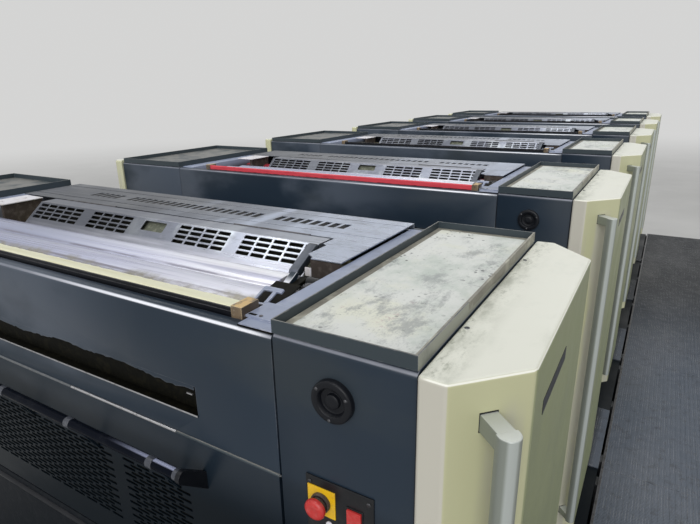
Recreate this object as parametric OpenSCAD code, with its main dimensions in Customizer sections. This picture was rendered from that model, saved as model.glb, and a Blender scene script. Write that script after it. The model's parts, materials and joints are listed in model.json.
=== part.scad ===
// Row of sheetfed offset printing units with the operator gallery beside them.
// Origin on the floor at the middle of the whole outline, +X to the operator side,
// +Y along the line from the first unit to the last, +Z up. Millimetres.
// Each unit is drawn in its own frame: x = 0 at the operator face, y = 0 at the
// front guard, z = 0 at the tray rim, and x runs negative towards the drive side.

/* [Line] */
// Number of printing units in the row
unit_count = 6; // [2:1:6]
// Distance from one unit to the next
unit_pitch = 1200; // [1150:10:1400]
// Depth of a unit above the deck, along the line
tower_depth = 660; // [640:5:700]
// Height of the tray rims above the floor
rim_height = 2000; // [1950:10:2200]
// Height of the gallery deck above the floor
deck_height = 560; // [480:10:620]

/* [Widths] */
// Width of the operator side housing and its tray
tray_width = 233; // [200:1:280]
// Distance from the operator face to the far side of the drive housing
body_width = 2145; // [2050:5:2300]
// Width of the drive side housing
drive_housing_w = 405; // [380:5:430]
// Thickness of a cast side frame
frame_wall = 65; // [45:1:80]
// Thickness of the pale cover along the drive side
drive_cover_wall = 45; // [30:1:60]

/* [Front guards] */
// Depth of a folded guard panel
guard_depth = 20; // [16:1:26]
// Thickness of folded sheet
sheet = 3; // [2:0.5:4]
// Width of the slit between a guard and the housing beside it
guard_slit = 2.5; // [1:0.5:4]
// Drop from the tray rim to the top of the guards
guard_drop = 26; // [24:1:40]
// Drop from the tray rim to the hinge line of the lower guard
hinge_drop = 279; // [270:1:300]
// Height of the lower guard under its hinge line
lower_guard_h = 376; // [340:2:400]
// Radius of the hinge barrel
hinge_r = 3; // [2.5:0.25:4]
// Radius of the hinge rod
rod_r = 1.5; // [1:0.25:2]
// Radius of the rounded top edges
edge_r = 12; // [6:1:16]
// Distance from the guard's ends to the long slot
slot_inset = 178.5; // [150:0.5:220]
// Height of the long slot
slot_h = 61; // [30:1:66]
// Drop from the tray rim to the top of the slot
slot_drop = 167; // [150:1:190]

/* [Grip bar] */
// Radius of the grip bar
bar_r = 10; // [8:0.5:14]
// Distance of the bar axis in front of the guard
bar_reach = 50; // [44:1:60]
// Drop of the bar axis under the hinge line
bar_drop = 39; // [36:1:60]
// Drop from the bar axis to the middle of an arm's foot on the guard
arm_drop = 43; // [36:1:50]
// Height of an arm's foot
arm_foot = 38; // [28:1:44]
// Distance of the bar's end from the operator housing
bar_inset = 175; // [150:5:220]
// Number of ring clamps on the bar
clamp_count = 5; // [3:1:7]

/* [Grilles] */
// Number of recessed grille fields in the lower guard
grille_count = 5; // [3:1:5]
// Width of the plain strip between two fields
grille_strip = 43; // [30:1:60]
// Height of a grille field
grille_h = 184; // [120:2:190]
// Number of slot rows in a grille field
grille_rows = 8; // [4:1:10]
// Distance from the guard's operator end to the first field's middle
grille_lead = 327; // [300:1:340]
// Distance from the last field's middle to the guard's drive end
grille_tail = 240; // [220:1:260]

/* [Ink unit] */
// Depth of the ink duct along the line
duct_depth = 54; // [48:1:60]
// Drop from the tray rim to the duct's bottom
duct_low = 92; // [80:1:100]
// Distance from the duct's drive end to the drive side frame
duct_end_gap = 115; // [90:5:140]
// Radius of the curved roller guard sheets
roller_guard_r = 90; // [80:5:120]
// Distance from the duct's operator end to the ink cover
cover_step = 82; // [76:1:90]
// Distance from the ink cover's drive end to the duct's
cover_inset = 74; // [60:1:90]
// Slope of the slotted face
cover_tilt = 40; // [36:1:44]
// Length of the slotted face down its slope
cover_face = 88; // [86:1:96]
// Distance from the front guard to the ink cover's hinge line
cover_hinge_y = 449; // [440:1:460]
// Drop from the tray rim to the flat top of the ink unit
top_drop = 14; // [10:1:24]
// Thickness of the ink cover sheet
cover_sheet = 4; // [3:0.5:5]
// Radius of the lifting lever on the ink cover
lever_r = 7; // [5:0.5:8]

/* [Slots in the ink cover] */
// Length of the ink cover counted in slot columns
cover_columns = 23.87; // [23.6:0.01:25]
// Width of the web between slots of one row
vent_web = 6; // [5:0.5:10]
// Width of one slot
vent_w = 10; // [8:0.5:11]
// Distance between slot rows
vent_row = 15; // [13:0.5:16]
// Distance from the face's lower edge to the first row
vent_low = 27; // [20:1:30]
// Distance from the face's lower edge to the finger hole
finger_low = 48; // [40:1:50]
// Width of the finger hole
finger_w = 31; // [26:1:34]

/* [Operator side] */
// Reach of the pale cover beyond the operator face
cover_reach = 129.5; // [110:0.5:150]
// Reach of the pale cover where its corner is cut
cover_lip = 43; // [35:1:50]
// Length of the cut corner along the line
cover_cut = 91; // [80:1:100]
// Drop from the tray rim to the top of the pale cover
cover_drop = 22; // [18:1:40]
// Clear height between the pale cover and the deck
cover_clear = 132; // [100:2:160]
// Distance from the pale cover's bottom to the grab handle
handle_foot = 86; // [60:1:300]
// Drop from the tray rim to the top of the grab handle
handle_top = 72; // [60:1:90]
// Width of the grab handle
handle_w = 31; // [26:1:40]
// Distance of the grab handle's middle in front of the cut corner
handle_reach = 46; // [42:1:60]
// Radius of the round knob cup's flange
knob_r = 36; // [28:1:40]

/* [Buttons] */
// Width of the black control plate
plate_w = 120; // [110:1:140]
// Height of the black control plate
plate_h = 290; // [200:5:320]
// Side of the yellow square under the stop button
stop_square = 50; // [46:1:60]
// Radius of the mushroom head
stop_r = 20; // [16:0.5:22]
// Travel of the stop button
stop_travel = 5; // [4:0.5:6]

/* [Cylinders] */
// Depth of the inking unit under the tray rim
ink_depth = 344; // [330:2:360]
// Gap between the printing cylinders
nip = 11; // [8:1:14]
// Lean of the stack of cylinders towards the front
stack_lean = 11; // [8:0.5:14]
// Radius of the ink rollers
roller_r = 38; // [30:1:42]

/* [Gallery] */
// Width of the gallery deck
gallery_w = 720; // [600:10:900]
// Gap from the operator face to the gallery deck
gallery_gap = 180; // [165:1:200]
// Thickness of deck plates
deck_t = 8; // [5:1:10]
// Depth of a step tread
tread_depth = 250; // [220:5:300]

/* [Hidden] */
$fn = 48;
moving = ["lower_guard_", "grip_bar_", "ink_cover_", "stop_button_"];

// Clearances shared by all pieces
touch = 0.3;
run_gap = 5;
deck_slit = 12;

// Places along and across the line
gap_len = unit_pitch - tower_depth;
line_len = unit_count * unit_pitch;
bay_len = unit_pitch - touch;
outer_x = gallery_gap + gallery_w;
op_x = (body_width + drive_cover_wall - outer_x) / 2;
floor_z = -rim_height;
deck_z = deck_height - rim_height;
guard_end = body_width - drive_housing_w;
guard_len = guard_end - tray_width;
guard_mid = -(tray_width + guard_end) / 2;
frame_in = tray_width + frame_wall;
drive_frame_in = guard_end - frame_wall;
inner_w = drive_frame_in - frame_in;
foot_h = 40;
base_h = deck_height - foot_h - deck_t;

// Trays
tray_h = 23;
tray_rim = 3;
tray_floor = 4;
drive_tray_gap = 11;

// Front guards and their hinge, whose axis lies in the plane of the face
slot_len = guard_len - 2 * slot_inset;
panel_gap = hinge_r + 1;
lower_top = -hinge_drop - panel_gap;
lower_bottom = -hinge_drop - lower_guard_h;
knuckle_count = 5;
knuckle_first = 241;
knuckle_last = 303;
knuckle_len = (guard_len - knuckle_first - knuckle_last) / (knuckle_count - 2);
grille_low = 66;
grille_first = tray_width + grille_lead;
grille_pitch = (guard_end - grille_tail - grille_first) / (grille_count - 1);
grille_len = grille_pitch - grille_strip;
bar_end = -(tray_width + bar_inset);
bar_len = 2 * (bar_end - guard_mid);
clamp_inset = 86;
clamp_pitch = (bar_len - 2 * clamp_inset) / (clamp_count - 1);

// Ink duct with its blade, and the end blocks that carry it
bracket_w = 22;
duct_start = frame_in + bracket_w + 2 * run_gap;
duct_end = drive_frame_in - duct_end_gap;
duct_len = duct_end - duct_start;
duct_front = guard_depth + 4;
duct_back = duct_front + duct_depth;
duct_lip = 4;
duct_top = 10;
blade_front = 17;
blade_back = 33;
film_t = 4.6;
pin_y = guard_depth + 30;
pin_z = -60;
pin_r = 10;

// Roller guard arcs: front edge, back edge, crown
guard_arcs = [[84, 183, -26], [186, 288, -36]];
guard_skirt = 44;
arc_lap = 3.1;
stud_r = 7;

// Ink cover, with its hinge and its lever
cover_start = duct_start + cover_step;
cover_len = duct_end - cover_inset - cover_start;
slope_run = cover_face * cos(cover_tilt);
slope_rise = cover_face * sin(cover_tilt);
flat_run = 54;
slope_top_y = cover_hinge_y - flat_run;
top_z = -top_drop;
cover_pin_r = 1.8;
cover_barrel_r = 3.6;
cover_pin_z = top_z - 1;
cover_knuckle = 120;
cover_edge_gap = cover_barrel_r + 1;
lever_w = 16;
lever_reach = 109;
lever_drop = 36;
lever_top = [slope_top_y - lever_r, top_z + 1];
lever_low = [slope_top_y - lever_reach, -lever_drop];
vent_col = cover_len / cover_columns;
vent_len = vent_col - vent_web;
// Groups of slots: first column and number of columns
vent_groups = [[0.82, 4], [5.69, 4], [13.73, 4], [18.73, 5]];
vent_rows = 4;
finger_col = 10.7;
finger_cols = 1.93;

// Pale cover and grab handle on the operator side
cover_bottom = -deck_z - cover_clear;
handle_h = cover_bottom - handle_top - handle_foot;
handle_along = 60;
arm_h = 26;

// Knob and buttons
knob_x = -129;
knob_z = -105;
stop_x = -153;
stop_z = -290;
plate_x = -62;
plate_top = -249;
plate_t = 3;
square_t = 2;
collar_h = 8;
collar_r = 15;
stem_r = 11;
head_h = 12;

// Stack of a double size impression cylinder, a blanket and a plate cylinder
stack_sink = 9;
stack_room = -deck_z - ink_depth + stack_sink - 2 * nip * cos(stack_lean);
stack_r = stack_room / (3 + 5 * cos(stack_lean));
cylinder_r = min(stack_r, (tower_depth / 2 - guard_depth - run_gap) / 2);
stack_dir = [-sin(stack_lean), cos(stack_lean)];
impression = [tower_depth / 2, deck_z - stack_sink + 2 * cylinder_r];
blanket = impression + (3 * cylinder_r + nip) * stack_dir;
plate = blanket + (2 * cylinder_r + nip) * stack_dir;

// Ink rollers: three in a row, and two beside the last of them
form_roller = [140, -120];
roller_step = [2.5 * roller_r, -5];
last_roller = form_roller + 2 * roller_step;
upper_roller = last_roller + 2.59 * roller_r * [cos(24), sin(24)];
lower_roller = last_roller + 2.06 * roller_r * [cos(50), -sin(50)];

module at_unit(i) {
    translate([op_x, -line_len / 2 + gap_len + (i - 1) * unit_pitch, rim_height])
        children();
}

module each_unit() {
    for (i = [1:unit_count]) at_unit(i) children();
}

// A bar along X with the given profile drawn in Y and Z, from x0 towards the drive side
module along_x(x0, len) {
    translate([x0, 0, 0])
        rotate([90, 0, -90])
            linear_extrude(len) mirror([1, 0]) children();
}

module roller(x0, len, y, z, r) {
    translate([x0, y, z]) rotate([0, -90, 0]) cylinder(h = len, r = r);
}

module machine_feet() {
    inset = 150;
    color([0.30, 0.31, 0.33])
    each_unit()
        for (x = [-tray_width - frame_wall / 2, -guard_end + frame_wall / 2])
            for (y = [-gap_len + inset, tower_depth - inset])
                translate([x, y, floor_z]) {
                    cylinder(h = foot_h / 2, r = 80);
                    cylinder(h = foot_h, r = 30);
                }
}

module base_frames() {
    color([0.42, 0.47, 0.53])
    each_unit()
        for (x = [-frame_in, -guard_end])
            translate([x, -gap_len + touch / 2, floor_z + foot_h])
                cube([frame_wall, bay_len, base_h]);
}

module base_cases() {
    color([0.24, 0.28, 0.33])
    each_unit() {
        translate([-tray_width, -gap_len + touch / 2, floor_z + foot_h])
            cube([tray_width + gallery_gap - deck_slit, bay_len, base_h]);
        translate([-body_width, -gap_len + touch / 2, floor_z + foot_h])
            cube([drive_housing_w, bay_len, base_h]);
    }
}

module base_panels() {
    panel_t = 12;
    color([0.24, 0.28, 0.33]) {
        at_unit(1)
            translate([-drive_frame_in, -gap_len, floor_z + foot_h])
                cube([inner_w, panel_t, base_h]);
        at_unit(unit_count)
            translate([-drive_frame_in, tower_depth - panel_t, floor_z + foot_h])
                cube([inner_w, panel_t, base_h]);
        each_unit()
            translate([-guard_end, 0, deck_z - deck_t])
                cube([guard_len, guard_depth, lower_bottom - run_gap - deck_z + deck_t]);
    }
}

module gap_decks() {
    color([0.45, 0.46, 0.47])
    each_unit()
        translate([-body_width, -gap_len, deck_z - deck_t])
            cube([body_width + gallery_gap - deck_slit, gap_len, deck_t]);
}

module tower_frames() {
    front = guard_depth + run_gap;
    color([0.55, 0.62, 0.70])
    each_unit()
        for (x = [-frame_in, -guard_end])
            translate([x, front, deck_z - deck_t])
                cube([frame_wall, tower_depth - guard_depth - front, -deck_z + deck_t - tray_h]);
}

// A housing block with its front and back top edges rounded
module housing(x0, w, depth, top, bottom) {
    along_x(x0, w)
        union() {
            translate([0, bottom]) square([depth, top - bottom - edge_r]);
            translate([edge_r, bottom]) square([depth - 2 * edge_r, top - bottom]);
            for (y = [edge_r, depth - edge_r])
                translate([y, top - edge_r]) circle(edge_r);
        }
}

module operator_pillars() {
    color([0.20, 0.23, 0.27])
    each_unit() housing(0, tray_width, tower_depth, -tray_h, deck_z - deck_t);
}

module drive_pillars() {
    color([0.20, 0.23, 0.27])
    each_unit()
        housing(-guard_end, drive_housing_w, tower_depth, -tray_h, deck_z - deck_t);
}

// Plan of the pale cover on the operator side, both near corners cut
module cover_plan(inset) {
    lip_y = 13;
    wall_y = 10;
    polygon([
        [0, inset - wall_y],
        [cover_lip - inset / 2, inset - lip_y],
        [cover_reach - inset, cover_cut - lip_y + inset / 2],
        [cover_reach - inset, tower_depth + lip_y - cover_cut - inset / 2],
        [cover_lip - inset / 2, tower_depth + lip_y - inset],
        [0, tower_depth + lip_y - inset]]);
}

module operator_covers() {
    color([0.86, 0.86, 0.80])
    each_unit()
        hull() {
            translate([touch, 0, -cover_bottom])
                linear_extrude(cover_bottom - cover_drop - edge_r) cover_plan(0);
            translate([touch, 0, -cover_bottom])
                linear_extrude(cover_bottom - cover_drop - edge_r * 0.3) cover_plan(edge_r * 0.3);
            translate([touch, 0, -cover_bottom])
                linear_extrude(cover_bottom - cover_drop) cover_plan(edge_r);
        }
}

module drive_covers() {
    overhang = 8;
    top = 11;
    color([0.86, 0.86, 0.80])
    each_unit()
        translate([-body_width, -overhang, 0])
            housing(0, drive_cover_wall, tower_depth + 2 * overhang, -top, deck_z);
}

// Section of the upper guard: a folded sheet with a rounded top front edge
module upper_guard_section() {
    h = hinge_drop - panel_gap - guard_drop;
    translate([0, -guard_drop - h])
        difference() {
            intersection() {
                square([guard_depth, h]);
                union() {
                    square([guard_depth, h - edge_r]);
                    translate([edge_r, 0]) square([guard_depth, h]);
                    translate([edge_r, h - edge_r]) circle(edge_r);
                }
            }
            difference() {
                translate([sheet, sheet]) square([guard_depth, h - 2 * sheet]);
                translate([0, h - edge_r]) square(edge_r);
            }
        }
}

module upper_guards() {
    color([0.20, 0.23, 0.27])
    each_unit() {
        difference() {
            along_x(-tray_width - guard_slit, guard_len - 2 * guard_slit) upper_guard_section();
            translate([guard_mid - slot_len / 2, -1, -slot_drop - slot_h])
                cube([slot_len, guard_depth + 2, slot_h]);
        }
        roller(-tray_width, guard_len, 0, -hinge_drop, rod_r);
        for (k = [0, 2, 4])
            fixed_knuckle(k);
    }
}

function knuckle_start(k) = tray_width + (k == 0 ? 0 : knuckle_first + (k - 1) * knuckle_len);
function knuckle_stop(k) = k == knuckle_count - 1 ? guard_end : knuckle_start(k + 1);

// Barrels on the hinge rod, each with a leaf up or down to its guard
module fixed_knuckle(k) {
    start = knuckle_start(k) + (k == 0 ? guard_slit : 1);
    len = knuckle_stop(k) - start - (k == knuckle_count - 1 ? guard_slit : 1);
    roller(-start, len, 0, -hinge_drop, hinge_r);
    translate([-start - len, 0, -hinge_drop])
        cube([len, sheet, panel_gap + 1]);
}

module moving_knuckle(k) {
    len = knuckle_stop(k) - knuckle_start(k) - 2;
    difference() {
        union() {
            roller(-knuckle_start(k) - 1, len, 0, -hinge_drop, hinge_r);
            translate([-knuckle_stop(k) + 1, 0, lower_top - 1])
                cube([len, sheet, -hinge_drop - lower_top + 1]);
        }
        roller(-knuckle_start(k), len + 2, 0, -hinge_drop, rod_r + touch);
    }
}

module slot_lips() {
    lip_h = 4;
    proud = 2;
    color([0.75, 0.76, 0.78])
    each_unit()
        translate([guard_mid - slot_len / 2, -proud, -slot_drop - slot_h])
            cube([slot_len, guard_depth, lip_h]);
}

// Lower guard: a folded pan with slotted grille fields pressed a little way in
module lower_guard() {
    h = lower_top - lower_bottom;
    w = guard_len - 2 * run_gap;
    recess = 1;
    color([0.20, 0.23, 0.27]) {
        difference() {
            union() {
                translate([-tray_width - run_gap, sheet, lower_bottom])
                    rotate([90, 0, 0]) mirror([1, 0, 0])
                        linear_extrude(sheet) guard_face(w, h);
                for (z = [lower_bottom, lower_top - sheet])
                    translate([-tray_width - run_gap - w, 0, z]) cube([w, guard_depth, sheet]);
                for (x = [0, w - sheet])
                    translate([-tray_width - run_gap - w + x, 0, lower_bottom])
                        cube([sheet, guard_depth, h]);
            }
            for (k = [0:grille_count - 1])
                translate([-grille_x(k) - grille_len / 2, -1, lower_bottom + grille_low])
                    cube([grille_len, 1 + recess, grille_h]);
        }
        for (k = [1, 3]) moving_knuckle(k);
    }
}

function grille_x(k) = grille_first + k * grille_pitch;

// Face of the lower guard: x from its operator end, y up, with rows of staggered slots
module guard_face(w, h) {
    row = grille_h / grille_rows;
    columns = 3;
    pitch = grille_len / columns;
    web = 0.18 * pitch;
    difference() {
        square([w, h]);
        for (k = [0:grille_count - 1])
            for (r = [0:grille_rows - 1])
                for (c = [0:columns - 1 - r % 2])
                    translate([grille_x(k) - grille_len / 2 - tray_width - run_gap
                        + (c + (r % 2) / 2) * pitch + web / 2,
                        grille_low + (r + 0.25) * row])
                        square([pitch - web, row / 2]);
    }
}

// Arm from the grip bar back and down to its foot on the guard
module grip_arm(x0, w) {
    along_x(x0, w)
        polygon([
            [-bar_reach, -hinge_drop - bar_drop + arm_foot / 2 - 4],
            [-touch, -hinge_drop - bar_drop - arm_drop + arm_foot / 2],
            [-touch, -hinge_drop - bar_drop - arm_drop - arm_foot / 2],
            [-bar_reach, -hinge_drop - bar_drop - arm_foot / 2 - 2]]);
}

module grip_bar() {
    end_arm = 24;
    ring_arm = 12;
    ring = 16;
    axis_z = -hinge_drop - bar_drop;
    color([0.06, 0.07, 0.09]) {
        roller(bar_end, bar_len, -bar_reach, axis_z, bar_r);
        grip_arm(bar_end, end_arm);
        grip_arm(bar_end - bar_len + end_arm, end_arm);
        for (k = [0:clamp_count - 1])
            translate([bar_end - clamp_inset - k * clamp_pitch, 0, 0]) {
                roller(ring / 2, ring, -bar_reach, axis_z, bar_r + 2);
                grip_arm(ring_arm / 2, ring_arm);
            }
    }
}

// Height of the duct's blade, which carries the ink, at a distance behind the guard's face
function blade_z(y) = -blade_front
    - (y - duct_front - duct_lip) * (blade_back - blade_front) / (duct_depth - duct_lip);

module ink_ducts() {
    color([0.07, 0.08, 0.09])
    each_unit()
        along_x(-duct_start, duct_len)
            polygon([
                [duct_front, -duct_low],
                [duct_front, -duct_top],
                [duct_front + duct_lip, -duct_top],
                [duct_front + duct_lip, -blade_front],
                [duct_back, -blade_back],
                [duct_back, -duct_low]]);
}

module ink_films() {
    front = duct_front + duct_lip + touch;
    back = duct_back - 1;
    color([0.93, 0.82, 0.15])
    each_unit()
        along_x(-duct_start - 1, duct_len - 2)
            polygon([
                [front, blade_z(front) + touch],
                [front, blade_z(front) + film_t],
                [back, blade_z(back) + film_t],
                [back, blade_z(back) + touch]]);
}

// End blocks of the ink duct, each on a pin in the side frame
module duct_brackets() {
    top = 6;
    color([0.62, 0.45, 0.28])
    each_unit() {
        for (x = [-duct_start + touch, -duct_end - bracket_w - touch])
            translate([x, guard_depth + touch, -duct_low])
                cube([bracket_w, duct_depth + 4, duct_low - top]);
        roller(-frame_in - touch, duct_start - frame_in - bracket_w, pin_y, pin_z, pin_r);
        roller(-duct_end - bracket_w - touch, duct_end_gap - bracket_w - 2 * touch,
            pin_y, pin_z, pin_r);
    }
}

// Two curved sheets over the rollers behind the ink duct, with an end plate each side
module roller_guards() {
    t = 3;
    stud_z = -60;
    color([0.72, 0.73, 0.76])
    each_unit() {
        for (s = guard_arcs) {
            along_x(-duct_start, duct_len) arc_band(s, roller_guard_r - t);
            for (x = [-duct_start, -duct_end + t])
                along_x(x, t) arc_band(s, 0);
        }
        for (y = [guard_arcs[0][0] + 26, guard_arcs[1][0] + 34]) {
            roller(-frame_in - touch, duct_start - frame_in + t, y, stud_z, stud_r);
            roller(-duct_end + t, duct_end_gap + t - touch, y, stud_z, stud_r);
        }
        guard_bracket();
    }
}

// Part of a disc between two lines, cut flat under its crown, or its rim from a radius out
module arc_band(s, hollow_r) {
    intersection() {
        translate([(s[0] + s[1]) / 2, s[2] - roller_guard_r])
            difference() {
                circle(roller_guard_r, $fn = 96);
                if (hollow_r > 0) circle(hollow_r, $fn = 96);
            }
        translate([s[0], s[2] - guard_skirt]) square([s[1] - s[0] + arc_lap, 2 * guard_skirt]);
    }
}

// Open sloping bracket beside the roller guard, on a tongue that lies on the side frame
module guard_bracket() {
    t = 4;
    w = 47;
    rise_len = 56;
    leg = 10;
    opening = 21;
    tongue = 66;
    translate([-frame_in - w, duct_back + 2, -tray_h])
        rotate([17.5, 0, 0])
            difference() {
                cube([w, rise_len, t]);
                translate([leg, leg, -1]) cube([opening, rise_len - 2 * leg, t + 2]);
            }
    translate([-frame_in - 2 * t, duct_back - 23, -tray_h]) cube([tongue, 29, t]);
}

// A group of slots in rows, from its first column, each as long as the given length
module slot_group(column, columns, len) {
    for (c = [0:columns - 1])
        for (r = [0:vent_rows - 1])
            translate([(column + c) * vent_col, vent_low + r * vent_row]) square([len, vent_w]);
}

// Slotted face drawn flat: x from the operator end, y up the slope
module slotted_face() {
    difference() {
        square([cover_len, cover_face]);
        for (g = vent_groups) slot_group(g[0], g[1], vent_len);
        translate([vent_len / 2 - 7, 0]) slot_group(0, 1, vent_len / 2);
        translate([finger_col * vent_col, finger_low])
            square([finger_cols * vent_col, finger_w]);
    }
}

// Places the hinge knuckles of the ink cover, two pairs near its ends
module at_cover_hinges() {
    inset = 60;
    for (x = [-cover_start - inset, -cover_start - cover_len + inset + 2 * cover_knuckle])
        translate([x, 0, 0]) children();
}

// Lever that lifts the ink cover, from its top corner down beside the slotted face
module cover_lever() {
    hull()
        for (p = [lever_top, lever_low])
            roller(-cover_start + lever_w, lever_w + touch, p[0], p[1], lever_r);
}

module ink_cover() {
    cheek = 12;
    low = [slope_top_y - slope_run, top_z - slope_rise];
    back = cover_hinge_y - cover_edge_gap;
    color([0.62, 0.64, 0.67]) {
        translate([-cover_start, low[0], low[1]])
            rotate([cover_tilt, 0, 0])
                mirror([1, 0, 0])
                    translate([0, 0, -cover_sheet])
                        linear_extrude(cover_sheet) slotted_face();
        translate([-cover_start - cover_len, slope_top_y, top_z - cover_sheet])
            cube([cover_len, back - slope_top_y, cover_sheet]);
        for (x = [-cover_start + touch, -cover_start - cover_len + cheek])
            along_x(x, cheek)
                polygon([low, [slope_top_y, top_z], [back - 6, top_z], [back - 6, top_z - 22],
                    [slope_top_y, top_z - 30], [low[0] + 10, low[1] - 6]]);
        cover_lever();
        at_cover_hinges()
            difference() {
                union() {
                    roller(0, cover_knuckle - 1, cover_hinge_y, cover_pin_z, cover_barrel_r);
                    translate([-cover_knuckle + 1, back - 1, top_z - cover_sheet])
                        cube([cover_knuckle - 1, cover_edge_gap - 1, cover_sheet]);
                }
                roller(1, cover_knuckle + 2, cover_hinge_y, cover_pin_z, cover_pin_r + touch);
            }
    }
}

// Fixed covers behind the ink cover, with a plate that runs forward beside its lever
module top_covers() {
    lip_h = 36;
    front = cover_hinge_y + cover_edge_gap;
    plate_end = guard_end - 51;
    tab_depth = 131;
    tab_front = cover_hinge_y - tab_depth;
    tab_end = cover_start - lever_w - run_gap - 1;
    color([0.62, 0.64, 0.67])
    each_unit() {
        translate([-plate_end, front, top_z - cover_sheet])
            cube([plate_end - frame_in, tower_depth + cover_sheet - front, cover_sheet]);
        translate([-tab_end, tab_front, top_z - cover_sheet])
            cube([tab_end - frame_in, front + 1 - tab_front, cover_sheet]);
        translate([-plate_end, tower_depth, top_z - lip_h])
            cube([plate_end - frame_in, cover_sheet, lip_h]);
        at_cover_hinges() {
            roller(0, 2 * cover_knuckle, cover_hinge_y, cover_pin_z, cover_pin_r);
            translate([-cover_knuckle, 0, 0]) {
                roller(0, cover_knuckle, cover_hinge_y, cover_pin_z, cover_barrel_r);
                translate([-cover_knuckle, cover_hinge_y + 2, top_z - cover_sheet])
                    cube([cover_knuckle, cover_edge_gap - 1, cover_sheet]);
            }
        }
    }
}

module back_panels() {
    color([0.20, 0.23, 0.27])
    each_unit()
        translate([-guard_end, tower_depth - guard_depth, deck_z - deck_t])
            cube([guard_len, guard_depth, -deck_z + deck_t - tray_h - 1]);
}

// A shallow tray of folded sheet
module tray(w, depth) {
    difference() {
        cube([w, depth, tray_h]);
        translate([tray_rim, tray_rim, tray_floor])
            cube([w - 2 * tray_rim, depth - 2 * tray_rim, tray_h]);
    }
}

module operator_trays() {
    color([0.25, 0.29, 0.34])
    each_unit() translate([-tray_width, 0, -tray_h]) tray(tray_width, tower_depth);
}

module tray_mats() {
    mat_t = 3;
    margin = tray_rim + 1;
    color([0.88, 0.88, 0.84])
    each_unit()
        translate([-tray_width + margin, margin, tray_floor - tray_h])
            cube([tray_width - 2 * margin, tower_depth - 2 * margin, mat_t]);
}

module drive_trays() {
    color([0.25, 0.29, 0.34])
    each_unit()
        translate([-body_width + drive_tray_gap, 0, -tray_h])
            tray(drive_housing_w - drive_tray_gap, tower_depth);
}

module printing_cylinders() {
    color([0.70, 0.71, 0.72])
    each_unit() {
        for (c = [plate, blanket])
            roller(-frame_in, inner_w, c[0], c[1], cylinder_r);
        roller(-frame_in, inner_w, impression[0], impression[1], 2 * cylinder_r);
    }
}

module ink_rollers() {
    row = [for (k = [0:2]) form_roller + k * roller_step];
    color([0.30, 0.33, 0.40])
    each_unit()
        for (c = concat(row, [upper_roller, lower_roller]))
            roller(-frame_in, inner_w, c[0], c[1], roller_r);
}

// Round cup with a wide flange and a boss in its middle
module knobs() {
    flange_h = 12;
    bowl_r = 0.72 * knob_r;
    color([0.05, 0.05, 0.06])
    each_unit()
        translate([knob_x, 0, knob_z]) rotate([90, 0, 0]) {
            difference() {
                cylinder(h = flange_h, r = knob_r);
                translate([0, 0, flange_h / 3]) cylinder(h = flange_h, r = bowl_r);
            }
            cylinder(h = flange_h + 2, r = bowl_r / 2);
        }
}

module control_plates() {
    color([0.08, 0.08, 0.09])
    each_unit() {
        translate([plate_x - plate_w, -plate_t, plate_top - plate_h])
            cube([plate_w, plate_t, plate_h]);
        translate([stop_x, -plate_t, stop_z]) rotate([90, 0, 0])
            difference() {
                cylinder(h = collar_h, r = collar_r);
                translate([0, 0, -1]) cylinder(h = collar_h + 2, r = stem_r + 0.5);
            }
    }
}

module stop_plates() {
    color([0.90, 0.75, 0.10])
    each_unit()
        difference() {
            translate([stop_x - stop_square / 2, -plate_t - square_t, stop_z - stop_square / 2])
                cube([stop_square, square_t, stop_square]);
            translate([stop_x, -plate_t + 1, stop_z]) rotate([90, 0, 0])
                cylinder(h = 2 * square_t, r = collar_r + 0.2);
        }
}

// Mushroom head on its stem, out at its rest place
module stop_button() {
    rim = 4;
    stem_h = collar_h;
    color([0.80, 0.10, 0.08])
    translate([stop_x, -plate_t - 1 - stop_travel, stop_z]) rotate([90, 0, 0]) {
        cylinder(h = stem_h + 1, r = stem_r);
        translate([0, 0, stem_h])
            rotate_extrude() {
                square([stop_r - rim, head_h]);
                square([stop_r, head_h - rim]);
                translate([stop_r - rim, head_h - rim]) circle(rim);
            }
    }
}

// Grab handle along the cut corner of the pale cover: a bar with a round front on two arms
module grab_handles() {
    lip_y = 13;
    bar_back = 6;
    corner = atan2(cover_reach - cover_lip, cover_cut);
    color([0.72, 0.73, 0.74])
    each_unit()
        translate([cover_lip, -lip_y, -handle_top - handle_h])
            rotate([0, 0, 90 - corner])
                translate([handle_along, 0, 0]) {
                    linear_extrude(handle_h)
                        translate([0, -handle_reach]) {
                            circle(handle_w / 2);
                            translate([-handle_w / 2, 0]) square([handle_w, bar_back]);
                        }
                    for (z = [0, handle_h - arm_h])
                        translate([-arm_h / 2, -handle_reach, z])
                            cube([arm_h, handle_reach - touch, arm_h]);
                }
}

module gallery_decks() {
    color([0.47, 0.47, 0.46])
    each_unit()
        translate([gallery_gap, -gap_len + touch / 2, deck_z - deck_t])
            cube([gallery_w, bay_len, deck_t]);
}

module gallery_trestles() {
    beam = 60;
    trestle_w = gallery_w + deck_slit - 5;
    color([0.30, 0.33, 0.37])
    each_unit()
        for (y = [-gap_len + beam, -gap_len + unit_pitch / 2, tower_depth - 2 * beam])
            translate([gallery_gap - deck_slit, y, floor_z])
                difference() {
                    cube([trestle_w, beam, deck_height - deck_t]);
                    translate([beam, -1, beam])
                        cube([trestle_w - 2 * beam, beam + 2, deck_height - deck_t - 2 * beam]);
                }
}

module gallery_fascias() {
    lift = 10;
    color([0.24, 0.28, 0.33])
    each_unit()
        translate([outer_x - 5, -gap_len + touch / 2, floor_z + lift])
            cube([sheet, bay_len, deck_height - deck_t - lift]);
}

module at_gallery_ends() {
    for (s = [0, 1])
        mirror([0, s, 0])
            translate([op_x + gallery_gap, -line_len / 2, 0]) children();
}

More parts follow.
